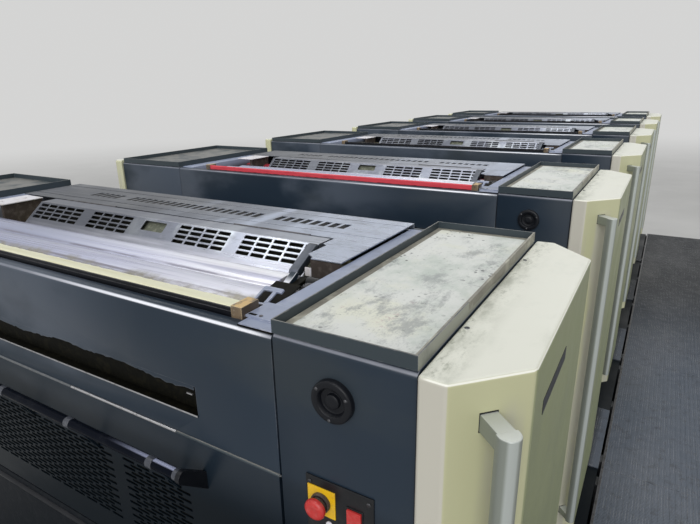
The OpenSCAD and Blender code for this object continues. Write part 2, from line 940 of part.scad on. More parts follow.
module step_treads() {
    tread_t = 30;
    rise = deck_height / 3;
    color([0.47, 0.47, 0.46])
    at_gallery_ends()
        for (k = [1, 2])
            translate([deck_t, -k * tread_depth, deck_height - k * rise - tread_t])
                cube([gallery_w - 2 * deck_t, tread_depth, tread_t]);
}

module step_stringers() {
    rise = deck_height / 3;
    color([0.24, 0.28, 0.33])
    at_gallery_ends()
        for (x = [0, gallery_w - deck_t])
            translate([x, 0, 0])
                rotate([90, 0, 90])
                    linear_extrude(deck_t)
                        polygon([[0, 0], [-2 * tread_depth, 0], [-2 * tread_depth, rise],
                            [-tread_depth, rise], [-tread_depth, 2 * rise], [0, 2 * rise]]);
}

machine_feet();
base_frames();
base_cases();
base_panels();
gap_decks();
tower_frames();
operator_pillars();
drive_pillars();
operator_covers();
drive_covers();
upper_guards();
slot_lips();
back_panels();
top_covers();
operator_trays();
tray_mats();
drive_trays();
ink_ducts();
ink_films();
duct_brackets();
roller_guards();
printing_cylinders();
ink_rollers();
knobs();
control_plates();
stop_plates();
grab_handles();
gallery_decks();
gallery_trestles();
gallery_fascias();
step_treads();
step_stringers();
for (i = [1:unit_count]) {
    at_unit(i) lower_guard();
    at_unit(i) grip_bar();
    at_unit(i) ink_cover();
    at_unit(i) stop_button();
}
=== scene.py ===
"""Looks of the row of offset printing units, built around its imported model.

Pieces are drawn in a unit's own frame, in millimetres: x = 0 at the operator face and negative
towards the drive side, y = 0 at the front guard, z = 0 at the rims of the trays. The row frame
that they end up in is metres, with its origin on the floor in the middle of the row.
"""
import json
import math
import random

import bmesh
import bpy
from mathutils import Matrix, Vector

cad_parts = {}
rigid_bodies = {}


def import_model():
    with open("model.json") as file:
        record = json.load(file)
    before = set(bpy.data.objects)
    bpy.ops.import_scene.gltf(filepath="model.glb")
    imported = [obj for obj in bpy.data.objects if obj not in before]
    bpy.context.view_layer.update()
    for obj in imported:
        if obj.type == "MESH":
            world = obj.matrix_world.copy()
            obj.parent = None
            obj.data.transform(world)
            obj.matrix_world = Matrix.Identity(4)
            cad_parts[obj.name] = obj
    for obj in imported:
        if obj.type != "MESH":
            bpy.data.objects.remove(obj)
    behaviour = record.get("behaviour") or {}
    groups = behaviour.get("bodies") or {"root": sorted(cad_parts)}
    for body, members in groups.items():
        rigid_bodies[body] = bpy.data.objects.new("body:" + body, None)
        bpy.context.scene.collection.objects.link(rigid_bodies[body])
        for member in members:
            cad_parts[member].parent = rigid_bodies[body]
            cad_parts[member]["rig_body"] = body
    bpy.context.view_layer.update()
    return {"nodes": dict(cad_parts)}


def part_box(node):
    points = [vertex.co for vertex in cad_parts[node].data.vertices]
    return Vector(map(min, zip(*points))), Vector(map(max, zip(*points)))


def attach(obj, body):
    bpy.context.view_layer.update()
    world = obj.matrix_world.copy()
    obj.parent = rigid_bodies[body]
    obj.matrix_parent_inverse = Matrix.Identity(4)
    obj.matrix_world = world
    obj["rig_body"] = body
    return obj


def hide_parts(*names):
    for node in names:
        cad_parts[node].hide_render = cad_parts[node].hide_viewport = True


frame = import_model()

MM = 0.001
ROW = "row"
UNITS = range(1, 7)
RANDOM_SEED = 41
SHARP = math.radians(38)  # edges bent by more than this are sharp
UP, FORWARD = (0, 0, 1), (0, -1, 0)
EVEN = (1, 1, 1)  # stretch of noise


# Places read from the frame

def low(node):
    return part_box(node)[0] / MM


def high(node):
    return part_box(node)[1] / MM


FACE_X = high("operator_pillars").x
RIM_Z = high("operator_trays").z
FIRST_Y = low("operator_pillars").y
PITCH = low("stop_button_2").y - low("stop_button_1").y
DEPTH = high("operator_pillars").y - FIRST_Y - 5 * PITCH
DECK_Z = high("gallery_decks").z - RIM_Z
TRAY_W = FACE_X - low("operator_pillars").x
COVER_REACH = high("operator_covers").x - FACE_X
COVER_BOTTOM = low("operator_covers").z - RIM_Z
COVER_TOP = high("operator_covers").z - RIM_Z
GAP = PITCH - DEPTH


def unit_matrix(i):
    """From a unit's frame in millimetres to the row frame in metres."""
    return Matrix.Scale(MM, 4) @ Matrix.Translation((FACE_X, FIRST_Y + (i - 1) * PITCH, RIM_Z))


def unit_box(node):
    """A node's box in the frame of its unit, or of unit 1 for a node of the whole row."""
    i = int(node[-1]) if node[-1].isdigit() else 1
    shift = Vector((FACE_X, FIRST_Y + (i - 1) * PITCH, RIM_Z))
    return low(node) - shift, high(node) - shift


# Mesh building

class Form:
    """A mesh under construction. Outlines are lists of points, and mark is a material's number."""

    def __init__(self):
        self.bm = bmesh.new()

    def loft(self, rings, mark=0):
        """Joins rings of equally many points, each to the next, and closes both ends."""
        loops = [[self.bm.verts.new(p) for p in ring] for ring in rings]
        count = len(loops[0])
        sides = [(a[k], a[(k + 1) % count], b[(k + 1) % count], b[k])
                 for a, b in zip(loops, loops[1:]) for k in range(count)]
        for corners in sides + [loops[0][::-1], loops[-1]]:
            self.bm.faces.new(corners).material_index = mark
        return self

    def bar(self, x0, length, outline, mark=0):
        """A bar along X, from x0 towards the drive side, with its outline in y and z."""
        return self.loft([[(x, y, z) for y, z in outline] for x in (x0, x0 - length)], mark)

    def post(self, outline, z0, z1, mark=0):
        """A prism along Z, with its outline in x and y."""
        return self.loft([[(x, y, z) for x, y in outline] for z in (z0, z1)], mark)

    def slab(self, a, b, mark=0):
        """A box from its lowest corner to its highest one."""
        return self.post(rect(*a[:2], *b[:2]), a[2], b[2], mark)

    def turned(self, at, axis, outline, sides=32, mark=0):
        """A body of revolution: outline is (distance along the axis, radius) from end to end."""
        turn = Vector(axis).normalized().to_track_quat("Z", "Y").to_matrix()
        at = Vector(at)
        angles = [math.tau * k / sides for k in range(sides)]
        rings = [[at + turn @ Vector((r * math.cos(a), r * math.sin(a), h)) for a in angles]
                 for h, r in outline]
        return self.loft(rings, mark)

    def rod(self, a, b, r, sides=24, mark=0, chamfer=0.0):
        """A round bar from a to b."""
        length = (Vector(b) - Vector(a)).length
        ends = [(0, r - chamfer), (chamfer, r), (length - chamfer, r), (length, r - chamfer)]
        return self.turned(a, Vector(b) - Vector(a), ends if chamfer else ends[1:3], sides, mark)

    def cut_plate(self, outline, holes, thick, to_unit, mark=0, edge=0.0):
        """A flat plate with holes, filled from a curve. to_unit takes its plane to the unit."""
        curve = bpy.data.curves.new("cut", "CURVE")
        curve.dimensions = "2D"
        curve.fill_mode = "BOTH"
        curve.extrude = thick / 2 - edge
        curve.bevel_depth = edge
        curve.bevel_resolution = 1
        curve.offset = -edge
        for points in [outline] + holes:
            spline = curve.splines.new("POLY")
            spline.points.add(len(points) - 1)
            for point, (x, y) in zip(spline.points, points):
                point.co = (x, y, 0, 1)
            spline.use_cyclic_u = True
        holder = linked("cut", curve)
        bpy.context.view_layer.update()
        graph = bpy.context.evaluated_depsgraph_get()
        mesh = bpy.data.meshes.new_from_object(holder.evaluated_get(graph))
        mesh.transform(to_unit)
        for polygon in mesh.polygons:
            polygon.material_index = mark
        self.bm.from_mesh(mesh)
        bpy.data.objects.remove(holder)
        bpy.data.curves.remove(curve)
        bpy.data.meshes.remove(mesh)
        return self

    def mesh(self, name, matrices):
        """One mesh with a copy of the form at each matrix."""
        bmesh.ops.recalc_face_normals(self.bm, faces=self.bm.faces)
        single = bpy.data.meshes.new(name)
        self.bm.to_mesh(single)
        self.bm.free()
        joined = bmesh.new()
        for matrix in matrices:
            copy = single.copy()
            copy.transform(matrix)
            joined.from_mesh(copy)
            bpy.data.meshes.remove(copy)
        joined.to_mesh(single)
        joined.free()
        return single


def linked(name, data):
    """A new object in the scene."""
    holder = bpy.data.objects.new(name, data)
    bpy.context.scene.collection.objects.link(holder)
    return holder


def rect(x0, y0, x1, y1):
    """Outline of a rectangle."""
    return [(x0, y0), (x1, y0), (x1, y1), (x0, y1)]


def rounded_box(w, h, r, at=(0, 0), steps=3):
    """Outline of a rectangle with rounded corners, centred on a point."""
    points = []
    for cx, cy, start in ((1, 1, 0), (-1, 1, 90), (-1, -1, 180), (1, -1, 270)):
        for k in range(steps + 1):
            angle = math.radians(start + 90 * k / steps)
            points.append((at[0] + cx * (w / 2 - r) + r * math.cos(angle),
                           at[1] + cy * (h / 2 - r) + r * math.sin(angle)))
    return points


def arc(centre, r, start, stop, steps):
    """Points on an arc, angles in degrees."""
    angles = [math.radians(start + (stop - start) * k / steps) for k in range(steps + 1)]
    return [(centre[0] + r * math.cos(a), centre[1] + r * math.sin(a)) for a in angles]


def show(name, form, finishes, body=ROW, units=UNITS, edge=0.0, segments=2, stands_for=()):
    """Makes a piece of a form, one copy in each unit, with its edges rounded by edge millimetres."""
    mesh = form.mesh(name, [unit_matrix(i) for i in units])
    return dress(name, mesh, finishes, body, edge, segments, stands_for)


def show_moving(i, name, form, finishes, body, node, edge=0.0):
    """Makes unit i's piece of this name, on its own moving body and in place of its own node."""
    name, body, node = ("%s_%d" % (word, i) for word in (name, body, node))
    show(name, form, finishes, body, [i], edge, stands_for=(node,))


def dress(name, mesh, finishes, body=ROW, edge=0.0, segments=2, stands_for=()):
    """Makes a piece of a mesh in the row frame."""
    for finish in finishes if isinstance(finishes, list) else [finishes]:
        mesh.materials.append(finish)
    piece = linked(name, mesh)
    mesh.shade_smooth()
    if edge:
        bevel = piece.modifiers.new("Rounded edges", "BEVEL")
        bevel.width = edge * MM
        bevel.segments = segments
        bevel.limit_method = "ANGLE"
        bevel.angle_limit = SHARP
        bevel.harden_normals = True
    else:
        mesh.set_sharp_from_angle(angle=SHARP)
    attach(piece, body)
    if stands_for:
        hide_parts(*stands_for)
    return piece


def dressed_node(node, finishes, edge, zones=(), segments=2):
    """A copy of a CAD node with rounded edges. A zone is (test of a face's centre, finish number)."""
    source = frame["nodes"][node]
    bm = bmesh.new()
    bm.from_mesh(source.data)
    bmesh.ops.remove_doubles(bm, verts=bm.verts, dist=0.00002)
    bmesh.ops.dissolve_limit(bm, angle_limit=math.radians(0.5), verts=bm.verts, edges=bm.edges)
    for face in bm.faces:
        face.material_index = 0
        for test, mark in zones:
            if test(face.calc_center_median() / MM):
                face.material_index = mark
    mesh = bpy.data.meshes.new(node)
    bm.to_mesh(mesh)
    bm.free()
    return dress("finished_" + node, mesh, finishes, source["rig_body"], edge, segments, (node,))


# Materials

class Tree:
    """The shader nodes of a material or of the world."""

    def __init__(self, owner):
        owner.use_nodes = True
        self.tree = owner.node_tree
        self.tree.nodes.clear()

    def fill(self, socket, value):
        """Links a node's output to a socket, or sets the socket to a value."""
        if isinstance(value, bpy.types.NodeSocket):
            self.tree.links.new(value, socket)
        elif isinstance(value, (tuple, list)) and len(value) == 3 and socket.type == "RGBA":
            socket.default_value = (*value, 1)
        else:
            socket.default_value = value

    def node(self, kind, values=(), **settings):
        node = self.tree.nodes.new("ShaderNode" + kind)
        for key, value in settings.items():
            setattr(node, key, value)
        for key, value in dict(values).items():
            self.fill(node.inputs[key], value)
        return node


class Paint(Tree):
    """A procedural material. Its textures use the row frame, in metres."""

    def __init__(self, name, colour, rough=0.5, metal=0.0, specular=0.5):
        self.material = bpy.data.materials.new(name)
        super().__init__(self.material)
        self.output = self.node("OutputMaterial")
        self.shader = self.node("BsdfPrincipled", {"Base Color": colour, "Roughness": rough,
                                                   "Metallic": metal, "Specular IOR Level": specular})
        self.fill(self.output.inputs["Surface"], self.shader.outputs[0])
        self.coords = self.node("TexCoord").outputs["Object"]
        self.base = colour
        self.normal = None

    def set(self, name, value):
        self.fill(self.shader.inputs[name], value)
        if name == "Base Color":
            self.base = value
        return self

    def noise(self, scale, stretch=EVEN, detail=3.0, shift=0.0, rough=0.55):
        """Noise with about scale features to the metre along each axis, times stretch."""
        place = self.node("Mapping", {"Vector": self.coords, "Location": (shift, shift, shift),
                                      "Scale": tuple(scale * s for s in stretch)})
        return self.node("TexNoise", {"Vector": place.outputs[0], "Scale": 1.0, "Detail": detail,
                                      "Roughness": rough}).outputs[0]

    def span(self, value, start, stop, low=0.0, high=1.0):
        """A smooth step from low to high as value goes from start to stop."""
        node = self.node("MapRange", {"Value": value, "From Min": start, "From Max": stop,
                                      "To Min": low, "To Max": high})
        node.interpolation_type = "SMOOTHSTEP"
        return node.outputs[0]

    def calc(self, operation, a, b=0.0, c=0.0):
        """A node of mathematics."""
        return self.node("Math", {0: a, 1: b, 2: c}, operation=operation).outputs[0]

    def times(self, a, b):
        return self.calc("MULTIPLY", a, b)

    def minus(self, a, b):
        return self.calc("SUBTRACT", a, b)

    def tint(self, factor, colour):
        """Lays a colour over the base where factor is 1."""
        node = self.node("Mix", {0: factor, 6: self.base, 7: colour}, data_type="RGBA")
        return self.set("Base Color", node.outputs[2])

    def mottle(self, colour, start, stop, most, *noise, **more):
        """Lays a colour on in patches: noise from start to stop gives a share from 0 to most."""
        return self.tint(self.span(self.noise(*noise, **more), start, stop, 0, most), colour)

    def rub(self, colour, radius, start, stop, *noise, **more):
        """Lays a colour along sharp edges, broken up by noise."""
        worn = self.span(self.noise(*noise, **more), start, stop)
        return self.tint(self.times(self.near_edge(radius), worn), colour)

    def roughen(self, low, high, *noise, **more):
        """Lets the roughness waver between two values."""
        return self.set("Roughness", self.span(self.noise(*noise, **more), 0.3, 0.7, low, high))

    def axis(self, index):
        return self.node("SeparateXYZ", {"Vector": self.coords}).outputs[index]

    def unit_y(self):
        """Distance behind the unit's own front guard, in metres."""
        return self.calc("WRAP", self.minus(self.axis(1), FIRST_Y * MM),
                         (PITCH - GAP / 2) * MM, -GAP / 2 * MM)

    def x_step(self, start, stop, low=0.0, high=1.0):
        """A step across the unit, in metres from the operator face, negative inwards."""
        return self.span(self.minus(self.axis(0), FACE_X * MM), start, stop, low, high)

    def y_step(self, start, stop, low=0.0, high=1.0):
        """A step along the unit, in metres from its front guard."""
        return self.span(self.unit_y(), start, stop, low, high)

    def z_step(self, start, stop, low=0.0, high=1.0):
        """A step in height, in millimetres from the rims of the trays."""
        return self.span(self.axis(2), (RIM_Z + start) * MM, (RIM_Z + stop) * MM, low, high)

    def facing(self, index, start=0.55, stop=0.95):
        """1 where the surface faces along an axis: 0 for X, 1 for Y, 2 for Z."""
        normal = self.node("NewGeometry").outputs["Normal"]
        return self.span(self.node("SeparateXYZ", {"Vector": normal}).outputs[index], start, stop)

    def facing_up(self):
        return self.facing(2)

    def sloping(self):
        """1 halfway round an edge that is rounded towards the top."""
        return self.minus(self.facing(2, 0.32, 0.54), self.facing(2, 0.66, 0.84))

    def near_edge(self, radius):
        """1 along sharp edges and 0 on the flat, from the Bevel node's normal."""
        soft = self.node("Bevel", {"Radius": radius}, samples=4).outputs[0]
        true = self.node("NewGeometry").outputs["Normal"]
        dot = self.node("VectorMath", {0: soft, 1: true}, operation="DOT_PRODUCT").outputs[1]
        return self.span(self.minus(1.0, dot), 0.02, 0.25)

    def bump(self, height, depth):
        """Adds relief: height from 0 to 1, depth in millimetres."""
        values = {"Height": height, "Distance": depth * MM, "Strength": 1.0}
        if self.normal is not None:
            values["Normal"] = self.normal
        self.normal = self.node("Bump", values).outputs[0]
        return self.set("Normal", self.normal)


def slate_paint():
    """Dark blue-grey powder coat, smeared by wiping and rubbed lighter along its edges, with bluish clouds
    that are smudges and painted reflection, painted shade on the lower guards and painted highlights on its
    rounded top edges.
    """
    p = Paint("slate_paint", (0.016, 0.028, 0.045), specular=0.35)
    smear = p.noise(2.4, (1, 1, 2.2), detail=5, shift=3)
    wipe = p.noise(9, (1, 1, 0.25), detail=4, shift=8)
    p.tint(p.span(smear, 0.47, 0.72, 0, 0.75), (0.030, 0.040, 0.048))
    p.tint(p.span(wipe, 0.55, 0.8, 0, 0.3), (0.036, 0.046, 0.060))
    # Light bluish clouds on the far part of the upper guard: smudges, with a painted reflection of the
    # surroundings.
    smudge_and_reflection = p.span(p.noise(3.4, (0.7, 1, 1.2), detail=4, shift=21), 0.40, 0.60)
    above = p.z_step(-262, -225)
    far = p.times(above, p.x_step(-0.5, -0.9, 0, 0.9))
    p.tint(p.times(far, smudge_and_reflection), (0.070, 0.088, 0.118))
    # Painted shade: darker below the hinge, and darker still towards the bottom of the lower guards.
    p.tint(p.z_step(-262, -300, 0, 0.45), (0.006, 0.010, 0.014))
    p.tint(p.z_step(-300, -440, 0, 0.85), (0.0035, 0.006, 0.0085))
    # Painted highlight halfway round the rounded top edges above the hinge, with a brighter painted glint over
    # part of the guard's width.
    edge = p.times(above, p.sloping())
    p.tint(p.times(edge, p.span(p.noise(7, detail=4), 0.3, 0.7, 0.5, 1)), (0.27, 0.285, 0.335))
    glint = p.times(p.x_step(-0.95, -0.5), p.x_step(-0.225, -0.28))
    p.tint(p.times(edge, glint), (0.88, 0.90, 0.97))
    rubbed = p.times(above, p.span(p.noise(30, shift=5), 0.35, 0.65, 0, 0.6))
    p.tint(p.times(p.near_edge(0.003), rubbed), (0.20, 0.21, 0.24))
    p.set("Roughness", p.span(smear, 0.35, 0.75, 0.34, 0.54))
    p.set("Specular IOR Level", p.z_step(-262, -400, 0.35, 0.07))
    p.bump(p.noise(420, detail=1), 0.05)
    return p.material


def cream_paint():
    """Ivory paint in lit and shaded copies: painted light whitens the top and warms the front lip, painted
    shade darkens the outer side, and the sides are yellow, partly as painted reflection; grimy along the seam
    with the tray, with pale worn edges and painted highlights along the top.
    """
    # The base is the yellow of the sides: cream paint, made yellower as a painted green-yellow reflection.
    p = Paint("cream_paint", (0.53, 0.53, 0.33), rough=0.42, specular=0.4)
    p.mottle((0.58, 0.58, 0.40), 0.35, 0.7, 1, 1.4, detail=3, shift=2)
    top = p.facing_up()
    outer = p.x_step(0.1275, 0.1290)
    # Painted shade: the outer side darker olive.
    p.tint(p.times(outer, 0.9), (0.265, 0.30, 0.155))
    lip = p.times(p.x_step(0.0445, 0.0425), p.x_step(-0.2, -0.1))
    # Painted light: a warm beige on the front lip, where it does not face up.
    p.tint(p.times(lip, p.minus(0.9, top)), (0.58, 0.56, 0.50))
    # Painted light: the top whitened where it faces up.
    p.tint(p.times(top, 0.95), (0.78, 0.79, 0.71))
    p.tint(p.times(top, p.span(p.noise(7, (1.3, 0.7, 1), detail=6, rough=0.7, shift=31),
                                          0.52, 0.75, 0, 0.5)), (0.60, 0.62, 0.54))
    seam = p.x_step(0.066, 0.002)
    speck = p.span(p.noise(60, (1, 0.5, 1), detail=7, rough=0.75), 0.47, 0.66)
    smudge = p.span(p.noise(9, (1.4, 0.6, 1), detail=7, shift=7, rough=0.72), 0.42, 0.66)
    corner = p.y_step(0.16, 0.0, 0, 0.6)
    edge_dirt = p.calc("MINIMUM", p.calc("ADD", seam, p.times(seam, corner)), 1.0)
    grime = p.times(p.times(edge_dirt, top), p.calc("MAXIMUM", speck, smudge))
    p.tint(p.times(grime, 0.85), (0.33, 0.35, 0.28))
    stain = p.times(p.span(p.noise(13, (1, 1, 0.10), detail=3, shift=41), 0.50, 0.62, 0, 0.6),
                  p.z_step(-45, -110))
    p.tint(p.times(stain, p.minus(1.0, outer)), (0.47, 0.455, 0.42))
    runs = p.span(p.noise(22, (1, 1, 0.07), detail=4, shift=11), 0.58, 0.8)
    p.tint(p.times(runs, p.span(p.axis(2), 1.9, 0.7, 0.05, 0.45)), (0.38, 0.36, 0.24))
    # Pale along the top edges: worn paint, with a painted highlight.
    p.tint(p.times(p.near_edge(0.004), p.span(p.noise(40, shift=9), 0.3, 0.6, 0.2, 0.9)),
           (0.84, 0.84, 0.74))
    # Painted highlight halfway round the rounded top edges.
    p.tint(p.times(p.sloping(), p.x_step(0.004, 0.02)), (0.92, 0.92, 0.84))
    p.roughen(0.32, 0.50, 6, detail=5)
    p.bump(p.noise(520, detail=2), 0.06)
    return p.material


def frame_paint():
    """Light blue-grey paint of the cast frames, with painted shade below their tops."""
    p = Paint("frame_paint", (0.27, 0.31, 0.42), rough=0.4)
    p.mottle((0.16, 0.175, 0.22), 0.5, 0.75, 0.6, 12, detail=6, rough=0.7)
    # Painted shade: darker and browner from a little below the top ledge downwards, inside the machine.
    p.tint(p.z_step(-30, -60, 0, 0.75), (0.045, 0.04, 0.035))
    p.rub((0.50, 0.52, 0.60), 0.003, 0.4, 0.6, 45)
    p.roughen(0.3, 0.55, 18, detail=4)
    p.bump(p.noise(260, detail=2), 0.10)
    return p.material


def rim_paint():
    """Slate paint of the tray rims, rubbed down to the metal in places."""
    p = Paint("rim_paint", (0.036, 0.050, 0.060), rough=0.45, specular=0.4)
    outer = p.times(p.facing(0), p.x_step(-0.02, -0.01))
    p.tint(p.times(outer, p.span(p.noise(12, detail=5, shift=6), 0.3, 0.5, 0.5, 1)), (0.33, 0.34, 0.29))
    p.tint(p.times(p.facing_up(), p.span(p.noise(16, detail=5), 0.3, 0.6)), (0.17, 0.17, 0.16))
    p.rub((0.38, 0.38, 0.37), 0.002, 0.45, 0.6, 60)
    p.bump(p.noise(420, detail=1), 0.05)
    return p.material


def stained_mat():
    """Off-white mat of the tray, smeared and spotted with old ink."""
    p = Paint("stained_mat", (0.69, 0.71, 0.68), rough=0.62)
    wash = p.noise(6, (1, 0.7, 1), detail=7, rough=0.72, shift=1)
    p.tint(p.span(wash, 0.44, 0.66, 0, 0.85), (0.47, 0.53, 0.48))
    p.mottle((0.72, 0.73, 0.60), 0.50, 0.68, 0.75, 5, detail=6, rough=0.65, shift=21)
    soot = p.noise(11, (1.2, 0.6, 1), detail=9, rough=0.8, shift=14)
    p.tint(p.span(soot, 0.50, 0.64, 0, 0.8), (0.25, 0.27, 0.27))
    p.mottle((0.36, 0.22, 0.26), 0.60, 0.68, 0.65, 8, detail=9, rough=0.82, shift=33)
    fleck = p.span(p.noise(85, detail=6, rough=0.8, shift=50), 0.60, 0.70)
    p.tint(p.times(fleck, p.span(p.noise(4, shift=44), 0.35, 0.6, 0.25, 0.95)), (0.17, 0.19, 0.17))
    spot = p.node("TexVoronoi", {"Vector": p.coords, "Scale": 62.0}).outputs["Distance"]
    clump = p.span(p.noise(6, shift=40), 0.5, 0.62)
    p.tint(p.times(p.span(spot, 0.24, 0.16), clump), (0.06, 0.065, 0.07))
    wipe = p.noise(26, (1, 0.12, 1), detail=5, shift=18)
    p.tint(p.span(wipe, 0.55, 0.8, 0, 0.5), (0.80, 0.81, 0.78))
    p.set("Roughness", p.span(soot, 0.4, 0.7, 0.62, 0.3))
    p.bump(wash, 0.5)
    return p.material


def two_tone(name, colour, patches, grain, depth, **look):
    """A finish with patches of a second colour, given as for mottle, and a relief, given as for noise."""
    p = Paint(name, colour, **look)
    p.mottle(*patches)
    p.bump(p.noise(*grain), depth)
    return p


def worn_tape():
    """Grey-brown tape along the rim and round the mat."""
    p = Paint("worn_tape", (0.25, 0.24, 0.20), rough=0.5)
    p.mottle((0.19, 0.18, 0.15), 0.45, 0.65, 1, 40, (1, 0.3, 1), detail=6, rough=0.7)
    p.mottle((0.46, 0.45, 0.37), 0.5, 0.7, 1, 15, shift=6)
    p.bump(p.noise(90, (1, 0.2, 1)), 0.2)
    return p.material


def cover_sheet(name, colour, sheen, bright_y=None):
    """Grey metal sheet of the ink unit's covers, with painted reflections in bright patches and streaks and
    towards the operator end, painted shade towards the drive end, painted highlights along its edges, and dull
    patches.
    """
    def shade(share):
        return tuple(min(0.8, share * c) for c in colour)
    p = Paint(name, colour, metal=0.75)
    patch = p.noise(2.6, (0.7, 1.2, 1), detail=5, rough=0.6, shift=4)
    grain = p.noise(240, (0.02, 1, 1), detail=2)
    # Painted reflections: brighter patches, and bright streaks along the unit.
    p.tint(p.span(patch, 0.42, 0.7), sheen)
    p.mottle(shade(2.1), 0.48, 0.60, 0.9, 9, (1, 0.10, 1), detail=5, shift=36)
    # Painted shade towards the drive end, and a painted reflection brightening towards the operator end.
    p.tint(p.x_step(-0.62, -1.15, 0, 0.9), shade(0.28))
    p.tint(p.x_step(-0.72, -0.5, 0, 0.55), shade(1.9))
    p.mottle(shade(0.45), 0.50, 0.7, 0.75, 20, (0.35, 1, 1), detail=7, rough=0.75, shift=9)
    if bright_y:
        # Darker along the top strip behind the fold.
        p.tint(p.y_step(0.393, 0.400, 0, 0.6), shade(0.55))
        # Painted highlight in a streaky band along the lower edge of the slope.
        streak = p.span(p.noise(60, (0.05, 1, 1), detail=4, shift=27), 0.3, 0.6, 0.35, 1)
        streak = p.times(streak, p.x_step(-1.35, -0.8, 0.25, 1))
        p.tint(p.times(p.y_step(bright_y + 0.012, bright_y), streak),
               (0.52, 0.53, 0.61))
    # Painted highlights along the sharp edges, strongest towards the operator end.
    shine = p.x_step(-1.25, -0.75, 0.12, 0.85)
    p.tint(p.times(p.near_edge(0.002), shine), (0.62, 0.64, 0.70))
    gloss = p.span(patch, 0.35, 0.7, 0.38, 0.24)
    p.set("Roughness", p.calc("ADD", gloss, p.span(grain, 0.3, 0.7, 0, 0.12)))
    p.bump(grain, 0.04)
    p.bump(p.noise(3.5, detail=2, shift=15), 1.2)
    return p.material


def polished_guard():
    """Lilac-white roller guard, with painted reflections in bright bands and towards the operator end and
    painted shade towards the drive end; streaked along its length and brown with ink at its front edge.
    """
    p = Paint("polished_guard", (0.60, 0.62, 0.79), metal=0.35, rough=0.3)
    streak = p.noise(170, (0.012, 1, 1), detail=4, shift=2)
    band = p.noise(34, (0.02, 1, 1), detail=3, shift=12)
    # Painted reflections: bright bands along the guard.
    p.tint(p.span(band, 0.40, 0.62), (0.83, 0.85, 0.98))
    # Painted reflection whitening towards the operator end, and painted shade darkening towards the drive end.
    p.tint(p.x_step(-0.85, -0.45, 0, 0.65), (0.98, 0.98, 1.0))
    p.tint(p.x_step(-0.62, -1.3, 0, 0.8), (0.22, 0.25, 0.38))
    p.tint(p.y_step(0.19, 0.13, 0, 0.35), (0.36, 0.38, 0.54))
    p.mottle((0.36, 0.37, 0.52), 0.52, 0.66, 0.75, 26, (0.03, 1, 1), detail=3, shift=52)
    p.tint(p.span(streak, 0.54, 0.70, 0, 0.6), (0.30, 0.30, 0.38))
    for y in (0.104, 0.172, 0.200, 0.262):
        line = p.calc("ABSOLUTE", p.minus(p.unit_y(), y))
        broken = p.span(p.noise(5, (1, 6, 1), detail=4, shift=60 * y), 0.36, 0.56, 0.1, 0.85)
        p.tint(p.times(p.span(line, 0.0042, 0.0012), broken), (0.20, 0.19, 0.25))
    smear = p.span(p.noise(16, (0.8, 1, 1), detail=7, rough=0.75), 0.38, 0.60, 0.3, 1)
    waver = p.span(p.noise(14, (1, 0.3, 1), detail=5, shift=77), 0.3, 0.7, -0.009, 0.009)
    front = p.span(p.calc("ADD", p.unit_y(), waver), 0.116, 0.094)
    p.tint(p.times(front, smear), (0.27, 0.255, 0.215))
    p.mottle((0.30, 0.29, 0.30), 0.60, 0.70, 0.7, 7, (0.5, 1.5, 1), detail=8, rough=0.8, shift=71)
    p.set("Roughness", p.span(band, 0.3, 0.7, 0.22, 0.38))
    p.bump(streak, 0.08)
    return p.material


def wet_ink(name, colour, dark):
    """A film of ink, thick and glossy."""
    return two_tone(name, colour, (dark, 0.5, 0.72, 0.6, 60, (0.15, 1, 1), 5, 5), (80, (0.3, 1, 1), 4), 0.4,
                    rough=0.32, specular=0.35).material


def inked_roller(name, colour):
    """Rubber roller with a thin coat of ink."""
    return two_tone(name, colour, ((0.03, 0.03, 0.035), 0.4, 0.7, 1, 50, (0.05, 1, 1), 4),
                    (150, (0.1, 1, 1)), 0.05, rough=0.28).material


def black_enamel():
    """Black enamel of the ducts and name strips."""
    p = Paint("black_enamel", (0.006, 0.007, 0.010), rough=0.36, specular=0.25)
    p.mottle((0.018, 0.020, 0.024), 0.5, 0.75, 0.6, 14, (0.4, 1, 1), detail=6, rough=0.7)
    p.rub((0.10, 0.10, 0.11), 0.0015, 0.4, 0.6, 70)
    p.roughen(0.30, 0.46, 25, detail=5)
    p.bump(p.noise(120, detail=2), 0.05)
    return p.material


def bar_lacquer():
    """Glossy blue-black lacquer of the grip bars, with a painted highlight along their tops near the operator
    end.
    """
    p = Paint("bar_lacquer", (0.003, 0.0045, 0.009), rough=0.2, specular=0.04)
    p.mottle((0.012, 0.014, 0.019), 0.5, 0.75, 0.7, 20, detail=6, rough=0.7)
    # Painted highlight along the top of the bar, near the operator end.
    p.tint(p.times(p.facing(2, 0.86, 0.985), p.x_step(-0.62, -0.46)), (0.34, 0.37, 0.52))
    p.roughen(0.14, 0.34, 30, detail=5)
    p.bump(p.noise(160, detail=2), 0.04)
    return p.material


def plastic(name, colour, faded):
    """Coloured plastic of a button, faded and with dirt in its hollows."""
    return two_tone(name, colour, (faded, 0.45, 0.7, 0.7, 90, EVEN, 5, 0, 0.7), (700, EVEN, 1), 0.03,
                    rough=0.35).material


def bright_steel():
    """Ground steel of rods, clamps and screws."""
    p = two_tone("bright_steel", (0.55, 0.55, 0.57), ((0.30, 0.30, 0.31), 0.5, 0.7, 1, 90, EVEN, 5, 0, 0.7),
                 (500, (0.05, 1, 1)), 0.02, rough=0.3, metal=0.9)
    return p.roughen(0.22, 0.42, 200, (0.1, 1, 1)).material


